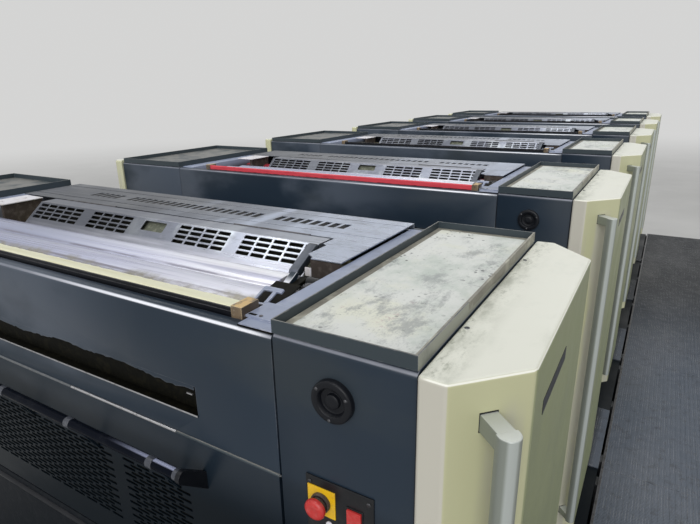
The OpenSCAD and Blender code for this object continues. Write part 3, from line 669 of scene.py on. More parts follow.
def brown_block():
    """End block of the ink duct, brown and greasy, in lit and shaded copies: painted light makes its top
    orange-tan, painted shade darkens its sides, most of all the side towards the operator.
    """
    p = Paint("brown_block", (0.30, 0.21, 0.11), rough=0.42)
    # Painted light: orange-tan where the block faces up.
    p.tint(p.times(p.facing_up(), 0.9), (0.62, 0.42, 0.17))
    # Painted shade: darker on the sides, darkest on the side facing the operator side.
    p.tint(p.times(p.minus(1.0, p.facing_up()), 0.6), (0.10, 0.075, 0.055))
    p.tint(p.times(p.facing(0), 0.8), (0.03, 0.024, 0.02))
    p.mottle((0.08, 0.06, 0.05), 0.44, 0.60, 0.85, 34, detail=7, rough=0.78)
    p.mottle((0.46, 0.42, 0.36), 0.56, 0.68, 0.8, 48, detail=6, rough=0.75, shift=9)
    p.rub((0.66, 0.54, 0.34), 0.003, 0.4, 0.55, 60)
    p.bump(p.noise(90, detail=5), 0.3)
    return p.material


def lever_paint():
    """Grey-blue paint of the lid levers, with painted light on the faces towards the front and painted shade
    on the faces towards the operator side.
    """
    p = Paint("lever_paint", (0.035, 0.044, 0.058), rough=0.42)
    # Painted light, broken up by noise, where the lever faces the front.
    p.tint(p.times(p.facing(1, -0.1, -0.7), p.span(p.noise(30, detail=4), 0.3, 0.6, 0.5, 1)),
           (0.115, 0.130, 0.165))
    # Painted shade where the lever faces the operator side.
    p.tint(p.times(p.facing(0, 0.3, 0.8), 0.8), (0.020, 0.026, 0.036))
    p.bump(p.noise(300, detail=2), 0.06)
    return p.material


def satin_aluminium():
    """Anodised aluminium of the grab handles, greasy where hands take it, with painted light on the rounded
    front where it turns to the operator side, and on the tops.
    """
    p = Paint("satin_aluminium", (0.27, 0.295, 0.262), rough=0.42, metal=0.3)
    p.mottle((0.25, 0.27, 0.23), 0.45, 0.7, 0.8, 5, (1, 1, 0.5), detail=5, shift=3)
    # Painted light: paler on the rounded front of the bar where it turns towards the operator side, and on the
    # tops.
    crown = p.minus(p.facing(0, 0.0, 0.35), p.facing(0, 0.80, 0.97))
    p.tint(p.times(crown, 0.85), (0.52, 0.56, 0.54))
    p.tint(p.times(p.facing_up(), 0.9), (0.60, 0.63, 0.60))
    p.rub((0.80, 0.80, 0.80), 0.002, 0.4, 0.6, 60)
    p.roughen(0.30, 0.48, 12, detail=4)
    p.bump(p.noise(300, (1, 1, 0.03)), 0.03)
    return p.material


def gallery_tread():
    """Ribbed deck of the gallery, dark in its grooves and worn bright along the walkway, with painted shade
    farther along the row and close to the machine.
    """
    p = Paint("gallery_tread", (0.138, 0.165, 0.212), rough=0.5, metal=0.2)
    walk = p.noise(1.8, (1, 0.5, 1), detail=5, shift=6)
    p.tint(p.span(walk, 0.42, 0.68, 0, 0.8), (0.160, 0.182, 0.222))
    # Painted shade: darker farther along the row.
    p.tint(p.span(p.axis(1), -0.4, 1.8, 0, 0.9), (0.046, 0.047, 0.049))
    p.set("Specular IOR Level", p.span(p.axis(1), -1.6, 0.4, 0.5, 0.12))
    p.mottle((0.050, 0.053, 0.058), 0.5, 0.72, 0.6, 24, detail=6, rough=0.75, shift=2)
    # Painted shade: darker close to the machine, under the covers.
    p.tint(p.x_step(0.15, 0.11, 0, 0.85), (0.030, 0.033, 0.036))
    cross = p.node("TexWave", {"Vector": p.coords, "Scale": 36.0, "Distortion": 0.3}, bands_direction="Y")
    notch = p.span(cross.outputs["Fac"], 0.25, 0.6)
    p.tint(p.times(p.minus(1.0, notch), 0.55), (0.035, 0.038, 0.042))
    p.bump(notch, 0.7)
    p.rub((0.38, 0.38, 0.39), 0.0025, 0.4, 0.6, 20, detail=4)
    p.set("Roughness", p.span(walk, 0.35, 0.7, 0.58, 0.36))
    return p.material


def iron_paint():
    """Dark grey paint of feet, trestles and stringers."""
    p = Paint("iron_paint", (0.060, 0.064, 0.070), rough=0.55)
    p.mottle((0.030, 0.030, 0.030), 0.45, 0.75, 1, 10, detail=6, rough=0.7)
    p.tint(p.times(p.span(p.axis(2), 0.25, 0.0), 0.6), (0.14, 0.13, 0.11))
    p.rub((0.20, 0.20, 0.20), 0.003, 0.4, 0.6, 40)
    p.bump(p.noise(250, detail=2), 0.15)
    return p.material


def greasy_dark(name, colour, smear):
    """Dark finish with greasy smears; the darkest of them are painted shade in the depths of the machine."""
    return two_tone(name, colour, (smear, 0.46, 0.72, 1, 60, EVEN, 6, 0, 0.7), (120, EVEN, 4), 0.5,
                    rough=0.6, specular=0.08).material


SLATE = slate_paint()
CREAM = cream_paint()
FRAME_PAINT = frame_paint()
RIM = rim_paint()
MAT = stained_mat()
TAPE = worn_tape()
TOP_SHEET = cover_sheet("top_sheet", (0.215, 0.240, 0.295), (0.33, 0.36, 0.43))
LID_SHEET = cover_sheet("lid_sheet", (0.33, 0.355, 0.43), (0.46, 0.49, 0.58), bright_y=0.340)
POLISHED = polished_guard()
ENAMEL = black_enamel()
LACQUER = bar_lacquer()
PLASTIC = two_tone("black_plastic", (0.008, 0.009, 0.011),
                   ((0.024, 0.024, 0.025), 0.5, 0.7, 0.6, 35, EVEN, 6, 0, 0.7), (600, EVEN, 1), 0.05,
                   rough=0.36, specular=0.35).material
RED = plastic("red_plastic", (0.54, 0.030, 0.028), (0.60, 0.10, 0.09))
YELLOW = plastic("yellow_plastic", (0.86, 0.52, 0.01), (0.66, 0.40, 0.04))
COLLAR = plastic("sooty_collar", (0.05, 0.038, 0.034), (0.11, 0.085, 0.075))
GREY_KEY = plastic("grey_key", (0.10, 0.11, 0.12), (0.16, 0.16, 0.16))
STEEL = bright_steel()
DARK_STEEL = two_tone("dark_steel", (0.12, 0.12, 0.13),
                      ((0.045, 0.043, 0.04), 0.45, 0.7, 1, 30, EVEN, 6, 0, 0.7), (150, EVEN, 3), 0.1,
                      rough=0.35, metal=0.8).material
RING = plastic("worn_ring", (0.045, 0.05, 0.065), (0.12, 0.125, 0.14))
CYLINDER = two_tone("cylinder_steel", (0.42, 0.43, 0.45),
                    ((0.26, 0.27, 0.30), 0.45, 0.7, 1, 18, (0.1, 1, 1), 5), (220, (0.03, 1, 1)), 0.03,
                    rough=0.28, metal=0.9).material
BROWN = brown_block()
WHITE = two_tone("white_sheet", (0.72, 0.71, 0.76),
                 ((0.50, 0.46, 0.42), 0.45, 0.7, 0.7, 22, EVEN, 6, 0, 0.7), (60, EVEN, 3), 0.2,
                 rough=0.4).material
LEVER = lever_paint()
HANDLE = satin_aluminium()
TREAD = gallery_tread()
IRON = iron_paint()
# Painted shade: near-black for plates and faces set where the machine's depths lie in shade.
SHADE_BLACK = greasy_dark("painted_shade_black", (0.003, 0.003, 0.002), (0.010, 0.009, 0.005))
BROWN_WALL = greasy_dark("brown_wall", (0.055, 0.045, 0.040), (0.11, 0.095, 0.085))
# Painted shade: near-black for the base panels, which lie in shade under the lower guards.
BASE_BLACK = greasy_dark("base_black", (0.006, 0.008, 0.011), (0.013, 0.015, 0.018))
OLIVE_PLATE = greasy_dark("olive_plate", (0.13, 0.14, 0.11), (0.28, 0.29, 0.22))
INK_COLOURS = [
    ("yellow", (0.86, 0.85, 0.60), (0.74, 0.70, 0.40)),
    ("red", (0.70, 0.075, 0.10), (0.45, 0.03, 0.05)),
    ("olive", (0.30, 0.27, 0.10), (0.16, 0.14, 0.06)),
    ("magenta", (0.45, 0.04, 0.10), (0.25, 0.02, 0.06)),
    ("blue", (0.03, 0.12, 0.36), (0.02, 0.06, 0.18)),
    ("black", (0.02, 0.02, 0.022), (0.04, 0.04, 0.045)),
]
INKS = [wet_ink("ink_" + n, colour, dark) for n, colour, dark in INK_COLOURS]
ROLLERS = [inked_roller("roller_" + n, dark) for n, colour, dark in INK_COLOURS]


def by_unit(name, make_form, finishes, stands_for):
    """One piece with a copy in each unit, each in its own finish."""
    joined = bmesh.new()
    for i in UNITS:
        single = make_form(i).mesh(name, [unit_matrix(i)])
        for polygon in single.polygons:
            polygon.material_index = i - 1
        joined.from_mesh(single)
        bpy.data.meshes.remove(single)
    mesh = bpy.data.meshes.new(name)
    joined.to_mesh(mesh)
    joined.free()
    return dress(name, mesh, finishes, stands_for=stands_for)


# Operator side

LIP, CORNER_CUT, SEAM, OVERHANG = 43.0, 91.0, 2.4, 13


def operator_side():
    """Cream cover with cut corners over the operator side, its seam, latches and name strip."""
    front, back = -OVERHANG, DEPTH + OVERHANG
    outline = [(SEAM, front + 3), (LIP, front), (COVER_REACH, front + CORNER_CUT),
               (COVER_REACH, back - CORNER_CUT), (LIP, back), (SEAM, back - 3)]
    shell = Form().post(outline, COVER_BOTTOM, COVER_TOP)
    show("cover_shells", shell, CREAM, edge=6, segments=4, stands_for=("operator_covers",))

    gasket = Form().slab((0.4, -3, COVER_BOTTOM + 4), (SEAM + 1, DEPTH + 3, COVER_TOP - 9))
    show("cover_gaskets", gasket, PLASTIC)

    latches = Form()
    for y in (150, 512):
        latches.turned((13, y, COVER_TOP - 1), UP, [(0, 4.2), (1.5, 4.2), (2.0, 3.4)], 24)
        latches.slab((10, y - 0.7, COVER_TOP + 0.9), (16, y + 0.7, COVER_TOP + 1.3), 1)
    show("cover_latches", latches, [GREY_KEY, PLASTIC])

    foot = COVER_REACH - 0.5
    strip = Form().slab((foot, 146, -130), (foot + 1.3, 334, -106))
    show("name_strips", strip, ENAMEL, edge=0.4)

    dressed_node("operator_pillars", SLATE, 1.6)


def grab_handle():
    """Handle along the cut corner: a bar with a rounded front, on two flat arms."""
    corner = math.atan2(COVER_REACH - LIP, CORNER_CUT)
    along = Vector((math.sin(corner), math.cos(corner), 0))
    out = Vector((math.cos(corner), -math.sin(corner), 0))
    foot = Vector((LIP, -OVERHANG, -72)) + along * 60
    place = Matrix(((along.x, out.x, 0, foot.x), (along.y, out.y, 0, foot.y),
                    (0, 0, 1, foot.z), (0, 0, 0, 1)))
    length, half, back, arm = 1150, 15.5, 46, 13
    outline = arc((0, back), half, 0, 180, 18) + [(-half, back - 6), (half, back - 6)]
    bars = Form().post(outline, -length, 0)
    for top in (-0.4, -length + 26.4):
        bars.post(rect(-arm, -1.5, arm, back - 4), top - 26, top)
    bars.bm.transform(place)
    show("handle_bars", bars, HANDLE, edge=1.8, segments=3, stands_for=("grab_handles",))

    gaskets = Form()
    for top in (1.4, -length + 27.8):
        gaskets.post(rect(-arm - 0.6, -1, arm + 0.6, 0.8), top - 29, top)
    gaskets.bm.transform(place)
    show("handle_gaskets", gaskets, PLASTIC, edge=0.4)


def knob_cup():
    """Black flanged cup with a round hollow, a boss in it and three screws."""
    at = (-126.5, 0, -103)
    cup = Form()
    cup.turned(at, FORWARD, [(0, 34), (7.5, 34), (9.6, 33.2), (10.6, 31.6), (11, 26), (10.4, 23.6),
                             (8.6, 22.2), (2.5, 20.4), (1.6, 18), (1.6, 12.5), (7.0, 11.4), (8.2, 9.5),
                             (8.6, 6), (8.6, 1)], 56)
    for angle, far in ((143, 29), (25, 27.5), (264, 29)):
        a = math.radians(angle)
        spot = (at[0] + far * math.cos(a), -10.4, at[2] + far * math.sin(a))
        cup.turned(spot, FORWARD, [(0, 2.6), (1.0, 2.6), (1.6, 1.6)], 16, mark=1)
    show("knob_cups", cup, [ENAMEL, DARK_STEEL], edge=0.4, stands_for=("knobs",))


def control_plate():
    """Control plate with its keys and screws, and the stop button on its square."""
    (x0, _, z0), (x1, _, z1) = unit_box("control_plates")
    face = -3.0
    plate = Form().slab((x0, face, z0), (x1, -0.2, z1))
    show("control_faces", plate, PLASTIC, edge=0.8, stands_for=("control_plates",))

    stop_x, stop_z, half = -153, -290, 25
    square = Form().slab((stop_x - half, face - 2, stop_z - half), (stop_x + half, face + 0.4, stop_z + half))
    show("stop_squares", square, YELLOW, edge=0.6, stands_for=("stop_plates",))

    collar = Form()
    collar.turned((stop_x, face - 1.5, stop_z), FORWARD,
                  [(0, 17), (4.5, 17), (6.2, 16.2), (6.5, 15.4), (6.5, 14.4), (1, 14.2)], 48)
    show("stop_collars", collar, COLLAR)

    keys = Form()
    for x, z, mark in ((-94, -295, 0), (-94, -350, 1), (-94, -405, 1), (-153, -405, 1), (-153, -460, 1),
                       (-94, -460, 1)):
        keys.slab((x - 15, face - 1.5, z - 16), (x + 15, face + 0.4, z + 16), 2)
        keys.slab((x - 12.3, face - 5, z - 13.2), (x + 12.3, face - 1, z + 13.2), mark)
    keys.turned((-140, face + 0.2, -329), FORWARD, [(0, 6), (2.2, 6), (3.4, 4.4), (3.8, 1)], 24, mark=3)
    show("push_keys", keys, [RED, GREY_KEY, PLASTIC, WHITE], edge=0.7)

    screws = Form()
    for x in (x0 + 8, x1 - 8):
        for z in (z0 + 11, z1 - 11):
            screws.turned((x, face + 0.3, z), FORWARD, [(0, 3.4), (1.4, 3.4), (2.1, 2.2)], 20)
            screws.slab((x - 2.4, face - 1.9, z - 0.5), (x + 2.4, face - 1.6, z + 0.5), 1)
    show("plate_screws", screws, [DARK_STEEL, PLASTIC])

    for i in UNITS:
        head = Form()
        head.turned((stop_x, face - 8.5, stop_z), FORWARD, [(0, 13.2), (6.6, 12.6)], 48, mark=1)
        head.turned((stop_x, face - 15, stop_z), FORWARD,
                    [(0, 12), (0.2, 15.8), (1.3, 17.4), (4.5, 18), (7.5, 17.2), (9.6, 14.8), (10.6, 11.6),
                     (10.8, 8), (10.2, 4.4), (10.1, 1)], 56)
        show_moving(i, "stop_heads", head, [RED, COLLAR], "stop", "stop_button")


def tray_form(x0, x1, wall=3.0):
    """A folded sheet tray with a thin rim."""
    top, bottom, floor_z = -0.5, -23.0, -19.0
    outer = rect(x0, 0, x1, DEPTH)
    inner = rect(x0 + wall, wall, x1 - wall, DEPTH - wall)
    return Form().loft([[(x, y, z) for x, y in outline] for outline, z in
                        ((outer, bottom), (outer, top), (inner, top), (inner, floor_z))])


def trays():
    show("operator_tray_pans", tray_form(-TRAY_W, 0), RIM, edge=0.8,
         stands_for=("operator_trays",))
    low_corner, high_corner = unit_box("drive_trays")
    show("drive_tray_pans", tray_form(low_corner.x, high_corner.x), RIM, edge=0.8,
         stands_for=("drive_trays",))

    mat = Form().slab((-TRAY_W + 4, 4, -19), (-4, DEPTH - 4, -16.6))
    show("mats", mat, MAT, edge=0.6, stands_for=("tray_mats",))

    tape = Form()
    inset, width, z = 3.6, 13.0, -16.2
    for a, b in (((-TRAY_W + inset, inset), (-TRAY_W + inset + width, DEPTH - inset)),
                 ((-inset - width, inset), (-inset, DEPTH - inset)),
                 ((-TRAY_W + inset + width, DEPTH - inset - width), (-inset - width, DEPTH - inset))):
        tape.slab((a[0], a[1], z - 0.5), (b[0], b[1], z))
    for start, stop, drop in ((196, 340, 15), (338, DEPTH - 3, 17)):
        tape.bar(0.5, 4.0, rect(start, -drop, stop, -0.05))
    show("rim_tapes", tape, TAPE, edge=0.15)


# Front guards

HINGE_Z, GUARD_TOP, GUARD_LOW = -279.0, -283.0, -655.0


def guards():
    """Upper front guard, the dried ink in its slot, and the plain nodes below."""
    def on_hinge(c):
        return abs(c.z - RIM_Z - HINGE_Z) < 3.4
    dressed_node("upper_guards", [SLATE, RIM, GREY_KEY], 1.0,
                 [(on_hinge, 1), (lambda c: on_hinge(c) and c.x < FACE_X - 474, 2)])
    # Painted shade: the slot lips' faces behind the guard front are near-black.
    dressed_node("slot_lips", [STEEL, SHADE_BLACK], 0.8,
                 [(lambda c: 3 < (c.y - FIRST_Y) % PITCH < 100, 1)])
    for node, finish, slot, edge in (
            ("drive_pillars", SLATE, "slate_paint", 1.6), ("base_cases", SLATE, "slate_paint", 2.0),
            # Painted shade: the base panels are near-black.
            ("base_panels", BASE_BLACK, "slate_paint", 1.5), ("gallery_fascias", SLATE, "slate_paint", 1.0),
            ("step_stringers", IRON, "dark_iron", 1.5)):
        dressed_node(node, finish, edge)
    rail = Form().rod((-252, 1, -684), (-1700, 1, -684), 8, 20, chamfer=1)
    show("toe_rails", rail, ENAMEL)
    dressed_node("gallery_trestles", IRON, 2.0)

    slot_low, slot_high, slot_z = -416.0, -1557.0, -166
    grime = Form()
    count = 150
    lower = []
    drop = 9.0
    for k in range(count + 1):
        ragged = 1.0 if k < count / 2 else 0.25
        drop = min(15.0, max(2.0, drop + ragged * random.uniform(-2.6, 2.6)))
        x = slot_low + (slot_high - slot_low) * k / count
        lower.append((x, slot_z - drop - ragged * random.uniform(0, 1.6)))
    lower += [(slot_high, slot_z), (slot_low, slot_z)]
    grime.loft([[(x, y, z) for x, z in lower] for y in (0.5, 2.4)])
    grime.slab((slot_low - 19, 1.0, -187), (slot_low - 6, 4.0, -184.4), 1)
    # Painted shade: a near-black plate behind the slot.
    grime.slab((slot_high - 4, 16, -236), (slot_low + 4, 18, -160), 2)
    show("slot_gunk_and_shade", grime, [SLATE, STEEL, SHADE_BLACK])


FIELD, FIELD_PITCH = 184, 235
FIRST_FIELD, LAST_FIELD = 560, 560 + 4 * FIELD_PITCH


def grille_holes(rows=20):
    """Rows of short slots, every second row moved by half a pitch, in three fields."""
    row = FIELD / rows
    first, last = FIRST_FIELD - FIELD // 2, LAST_FIELD + FIELD // 2
    holes = []
    for start, stop, columns in ((first, first + FIELD, 4), (first + FIELD_PITCH, last - FIELD_PITCH, 14),
                                 (last - FIELD, last, 4)):
        pitch = (stop - start) / columns
        for r in range(rows):
            shift = pitch / 4 if r % 2 else -pitch / 4
            for c in range(columns):
                x = start + (c + 0.5) * pitch + shift
                holes.append(rounded_box(pitch - 9, 6.3, 1.8, (x, -589 + (r + 0.5) * row), 1))
    return holes


def lower_guards():
    """Folded, grilled panel of each lower guard, with its two lengths of hinge."""
    for i in UNITS:
        low_corner, high_corner = unit_box("lower_guard_%d" % i)
        x0, x1, left, right = low_corner.x, high_corner.x, -high_corner.x, -low_corner.x
        flip = Matrix(((-1, 0, 0, 0), (0, 0, -1, 1.5), (0, 1, 0, 0), (0, 0, 0, 1)))
        panel = Form()
        panel.cut_plate(rect(left, GUARD_LOW, right, GUARD_TOP), grille_holes(), 3, flip, edge=0.4)
        # Painted shade: a near-black sheet behind the grille.
        panel.slab((-LAST_FIELD - 112, 7, -598), (-FIRST_FIELD + 112, 8, -396), 2)
        for z in (GUARD_LOW, GUARD_TOP - 3):
            panel.slab((x0, 2.8, z), (x1, 20, z + 3))
        for x in (x0, x1 - 3):
            panel.slab((x, 2.8, GUARD_LOW), (x + 3, 20, GUARD_TOP))
        for k in (1, 3):
            a = TRAY_W + 241 + (k - 1) * 321 + 1
            panel.rod((-a, 0, HINGE_Z), (-a - 319, 0, HINGE_Z), 3, 20, mark=1)
            panel.slab((-a - 319, 0.2, GUARD_TOP - 1), (-a, 2.8, HINGE_Z), 0)
        show_moving(i, "guard_panels", panel, [SLATE, STEEL, SHADE_BLACK], "guard", "lower_guard")


def grip_bars():
    """Grip bar of each lower guard on two arms, with its rings and the straps below them."""
    axis_y, axis_z, r = -50.0, -318.0, 10.0
    x_end, x_far = -408.0, -1565.0

    def arm(nose):
        return arc((axis_y, axis_z), nose, 62, 240, 10) + [(-0.5, -380), (-0.5, -342)]
    for i in UNITS:
        bar = Form()
        bar.rod((x_end - 12, axis_y, axis_z), (x_far + 12, axis_y, axis_z), r, 36)
        for x in (x_end, x_far + 10):
            bar.bar(x, 10, arm(13), 2)
        for k in range(5):
            x = x_end - 82 - 245 * k
            bar.rod((x + 8, axis_y, axis_z), (x - 8, axis_y, axis_z), r + 1.4, 36, mark=1, chamfer=0.8)
            bar.bar(x + 4, 8, [(axis_y, axis_z), (axis_y, axis_z - 8), (-0.5, -414), (-0.5, -404)], 3)
        for x, way in ((x_end - 10, -1), (x_far + 10, 1)):
            bar.rod((x, axis_y, axis_z), (x + way * 11, axis_y, axis_z), r + 0.8, 36, mark=1, chamfer=0.5)
        show_moving(i, "grip_tubes", bar, [LACQUER, RING, ENAMEL, SLATE], "guard", "grip_bar",
                    edge=0.6)


# Ink unit

LID_START, LID_LEN, LID_FACE, LID_TILT = 412.0, 1074.0, 88.0, 40.0
FOLD_Y, TOP_Z, HINGE_Y = 395.0, -14.0, 449.0
COLUMN = LID_LEN / 23.87
HINGE_GAP, HINGE_LEN = 4.6, 240
FRONT_STRIP, HINGE_PIN_Z = HINGE_Y + HINGE_GAP, TOP_Z - 1


def slope_matrix(depth):
    """Takes a plane drawn flat, x from the lid's operator end and y up its slope, to the unit."""
    return Matrix.Translation((-LID_START, FOLD_Y, TOP_Z)) @ \
        Matrix.Rotation(math.radians(LID_TILT), 4, "X") @ \
        Matrix(((-1, 0, 0, 0), (0, 1, 0, -LID_FACE), (0, 0, 1, -depth), (0, 0, 0, 1)))


def slot_holes():
    """Four fields of slots in four rows, a column of short ones and the finger hole."""
    holes = []
    for first, columns, wide in ((0.82, 4, 39), (5.69, 4, 39), (13.73, 4, 39), (18.73, 5, 39),
                                 (0.28, 1, 19)):
        for c in range(columns):
            for r in range(4):
                x = (first + c) * COLUMN
                holes.append(rounded_box(wide, 10, 1.2, (x + wide / 2, 27 + 15 * r + 5), 1))
    holes.append(rounded_box(86, 31, 4, (481.5 + 43, 48 + 15.5), 3))
    return holes


def lid_hinges():
    """Operator ends of the two hinges."""
    return -LID_START - 60, -LID_START - LID_LEN + 60 + HINGE_LEN


def ink_covers():
    """Slotted cover of each duct: slope, top strip, bead, cheeks, lever and half of each hinge."""
    low_y = FOLD_Y - LID_FACE * math.cos(math.radians(LID_TILT))
    low_z = TOP_Z - LID_FACE * math.sin(math.radians(LID_TILT))
    back = HINGE_Y - HINGE_GAP
    for i in UNITS:
        lid = Form()
        lid.cut_plate(rect(0, 0, LID_LEN, LID_FACE), slot_holes(), 3, slope_matrix(1.5), edge=0.5)
        lid.cut_plate(rect(470, 40, 580, 86), [], 1.2, slope_matrix(15), mark=2)
        # Painted shade: a near-black sheet under the slotted slope.
        lid.cut_plate(rect(2, 16, LID_LEN - 2, 87), [rect(474, 42, 575, 84)], 1, slope_matrix(10), mark=4)
        lid.slab((-LID_START - LID_LEN, FOLD_Y - 0.5, TOP_Z - 3), (-LID_START, back, TOP_Z))
        lid.bar(-LID_START, LID_LEN, [(low_y - 1.6, low_z - 6.5), (low_y + 0.2, low_z - 7.5),
                                      (low_y + 2.4, low_z - 2.2), (low_y + 0.6, low_z - 0.2)])
        cheek = [(low_y, low_z), (FOLD_Y, TOP_Z - 1.2), (back - 6, TOP_Z - 1.2), (back - 6, -36),
                 (FOLD_Y, -44), (low_y + 10, low_z - 6)]
        for x in (-LID_START - 0.4, -LID_START - LID_LEN + 12):
            lid.bar(x, 11, cheek)
        top, low = (374, -17.6), (306, -53)
        lean = math.degrees(math.atan2(top[1] - low[1], top[0] - low[0]))
        lever = []
        for x, r in ((10, 6.5), (9, 9), (6, 10.2), (-10, 10.2), (-13, 9), (-14, 6.5)):
            side = arc(top, r, lean - 90, lean + 90, 10) + arc(low, r, lean + 90, lean + 270, 10)
            lever.append([(x - LID_START, y, z) for y, z in side])
        lid.loft(lever, 5)
        lid.bar(-LID_START, 12, [(382, -20), (352, -36), (354, -46), (382, -24)], 1)
        for x in lid_hinges():
            lid.rod((x, HINGE_Y, HINGE_PIN_Z), (x - 119, HINGE_Y, HINGE_PIN_Z), 3.6, 20, mark=3)
            lid.slab((x - 119, back - 1, TOP_Z - 3.6), (x, HINGE_Y - 1, TOP_Z - 0.8), 0)
        show_moving(i, "slotted_lids", lid, [LID_SHEET, SLATE, OLIVE_PLATE, DARK_STEEL, SHADE_BLACK, LEVER],
                    "lid", "ink_cover")


def louvres():
    """Middles of the pressed louvres, in three groups across the fixed cover."""
    places = []
    for start, stop in ((-1441, -1313), (-1254, -700), (-654, -420)):
        count = int(round((stop - start - 18) / 29)) + 1
        places += [start + 9 + 29 * k for k in range(count)]
    return places


def fixed_covers():
    """Flat top sheet in three parts, with louvres, dark grooves, screws and the rest of the hinges."""
    start, stop = -298.0, -1689.0
    flat = Matrix.Translation((0, 0, TOP_Z - 1.5))
    sheet = Form()
    sheet.cut_plate([(stop, FRONT_STRIP), (-406, FRONT_STRIP), (-406, 404), (-392, 396), (-392, 326),
                     (-370, 310), (-370, 303), (start, 303), (start, 494), (stop, 494)], [], 3, flat, edge=0.5)
    holes = [rect(x - 10, 535, x + 10, 581) for x in louvres()]
    sheet.cut_plate(rect(stop, 498, start, 622), holes, 3, flat, edge=0.5)
    sheet.cut_plate(rect(stop, 626, start, DEPTH + 3.6), [], 3, flat, edge=0.5)
    sheet.slab((stop, DEPTH + 0.4, TOP_Z - 36), (start, DEPTH + 3.6, TOP_Z - 2))
    # Painted shade: the louvre tongues are near-black.
    for x in louvres():
        tongue = [(x - 10, -14.6), (x - 3, -22), (x - 3, -23.6), (x - 10, -16.4)]
        sheet.loft([[(u, y, w) for u, w in tongue] for y in (535.4, 580.6)], 1)
    for y in (496, 624):
        sheet.slab((stop + 1, y - 6, TOP_Z - 5.2), (start - 1, y + 6, TOP_Z - 3.4), 1)
    # Painted shade: a near-black plate under the louvres.
    sheet.slab((stop + 1, 530, TOP_Z - 15), (start - 1, 585, TOP_Z - 13.6), 1)
    for x in lid_hinges():
        end, middle = x - HINGE_LEN, x - HINGE_LEN / 2
        sheet.rod((x, HINGE_Y, HINGE_PIN_Z), (end, HINGE_Y, HINGE_PIN_Z), 1.8, 16, mark=2)
        sheet.rod((middle, HINGE_Y, HINGE_PIN_Z), (end, HINGE_Y, HINGE_PIN_Z), 3.6, 20, mark=2)
        sheet.slab((end, HINGE_Y + 1, TOP_Z - 3.6), (middle, FRONT_STRIP + 1, TOP_Z - 0.8), 0)
    for x in (-330, -820, -1180, -1655):
        for y in (510, 645):
            sheet.turned((x, y, TOP_Z - 0.4), UP, [(0, 5.0), (0.25, 5.0), (0.36, 3.6)], 20, mark=2)
    show("fixed_covers", sheet, [TOP_SHEET, PLASTIC, DARK_STEEL],
         stands_for=("top_covers",))


def roller_guard_form():
    """Curved sheets over the rollers, with their end plates and studs."""
    start, stop, r = -330.0, -1560.0, 90.0
    form = Form()
    for low_y, high_y, crown in ((84, 183, -26), (186, 288, -36)):
        centre = ((low_y + high_y) / 2, crown - r)
        a0 = math.degrees(math.acos((high_y + 3.1 - centre[0]) / r))
        a1 = math.degrees(math.acos((low_y - centre[0]) / r))
        near = start - (26 if low_y < 100 else 58)
        form.bar(near, near - stop, arc(centre, r, a0, a1, 26) + arc(centre, r - 3, a1, a0, 26))
        cheek = arc(centre, r - 1, a0, a1, 20) + [(low_y, crown - 44), (high_y + 3, crown - 44)]
        for x in (near - 0.3, stop + 3.3):
            form.bar(x, 3, cheek)
    for y in (110, 220):
        form.rod((-298.3, y, -60), (start - 60, y, -60), 7, 24, mark=1)
        form.rod((stop + 1, y, -60), (-1674.7, y, -60), 7, 24, mark=1)
    return form


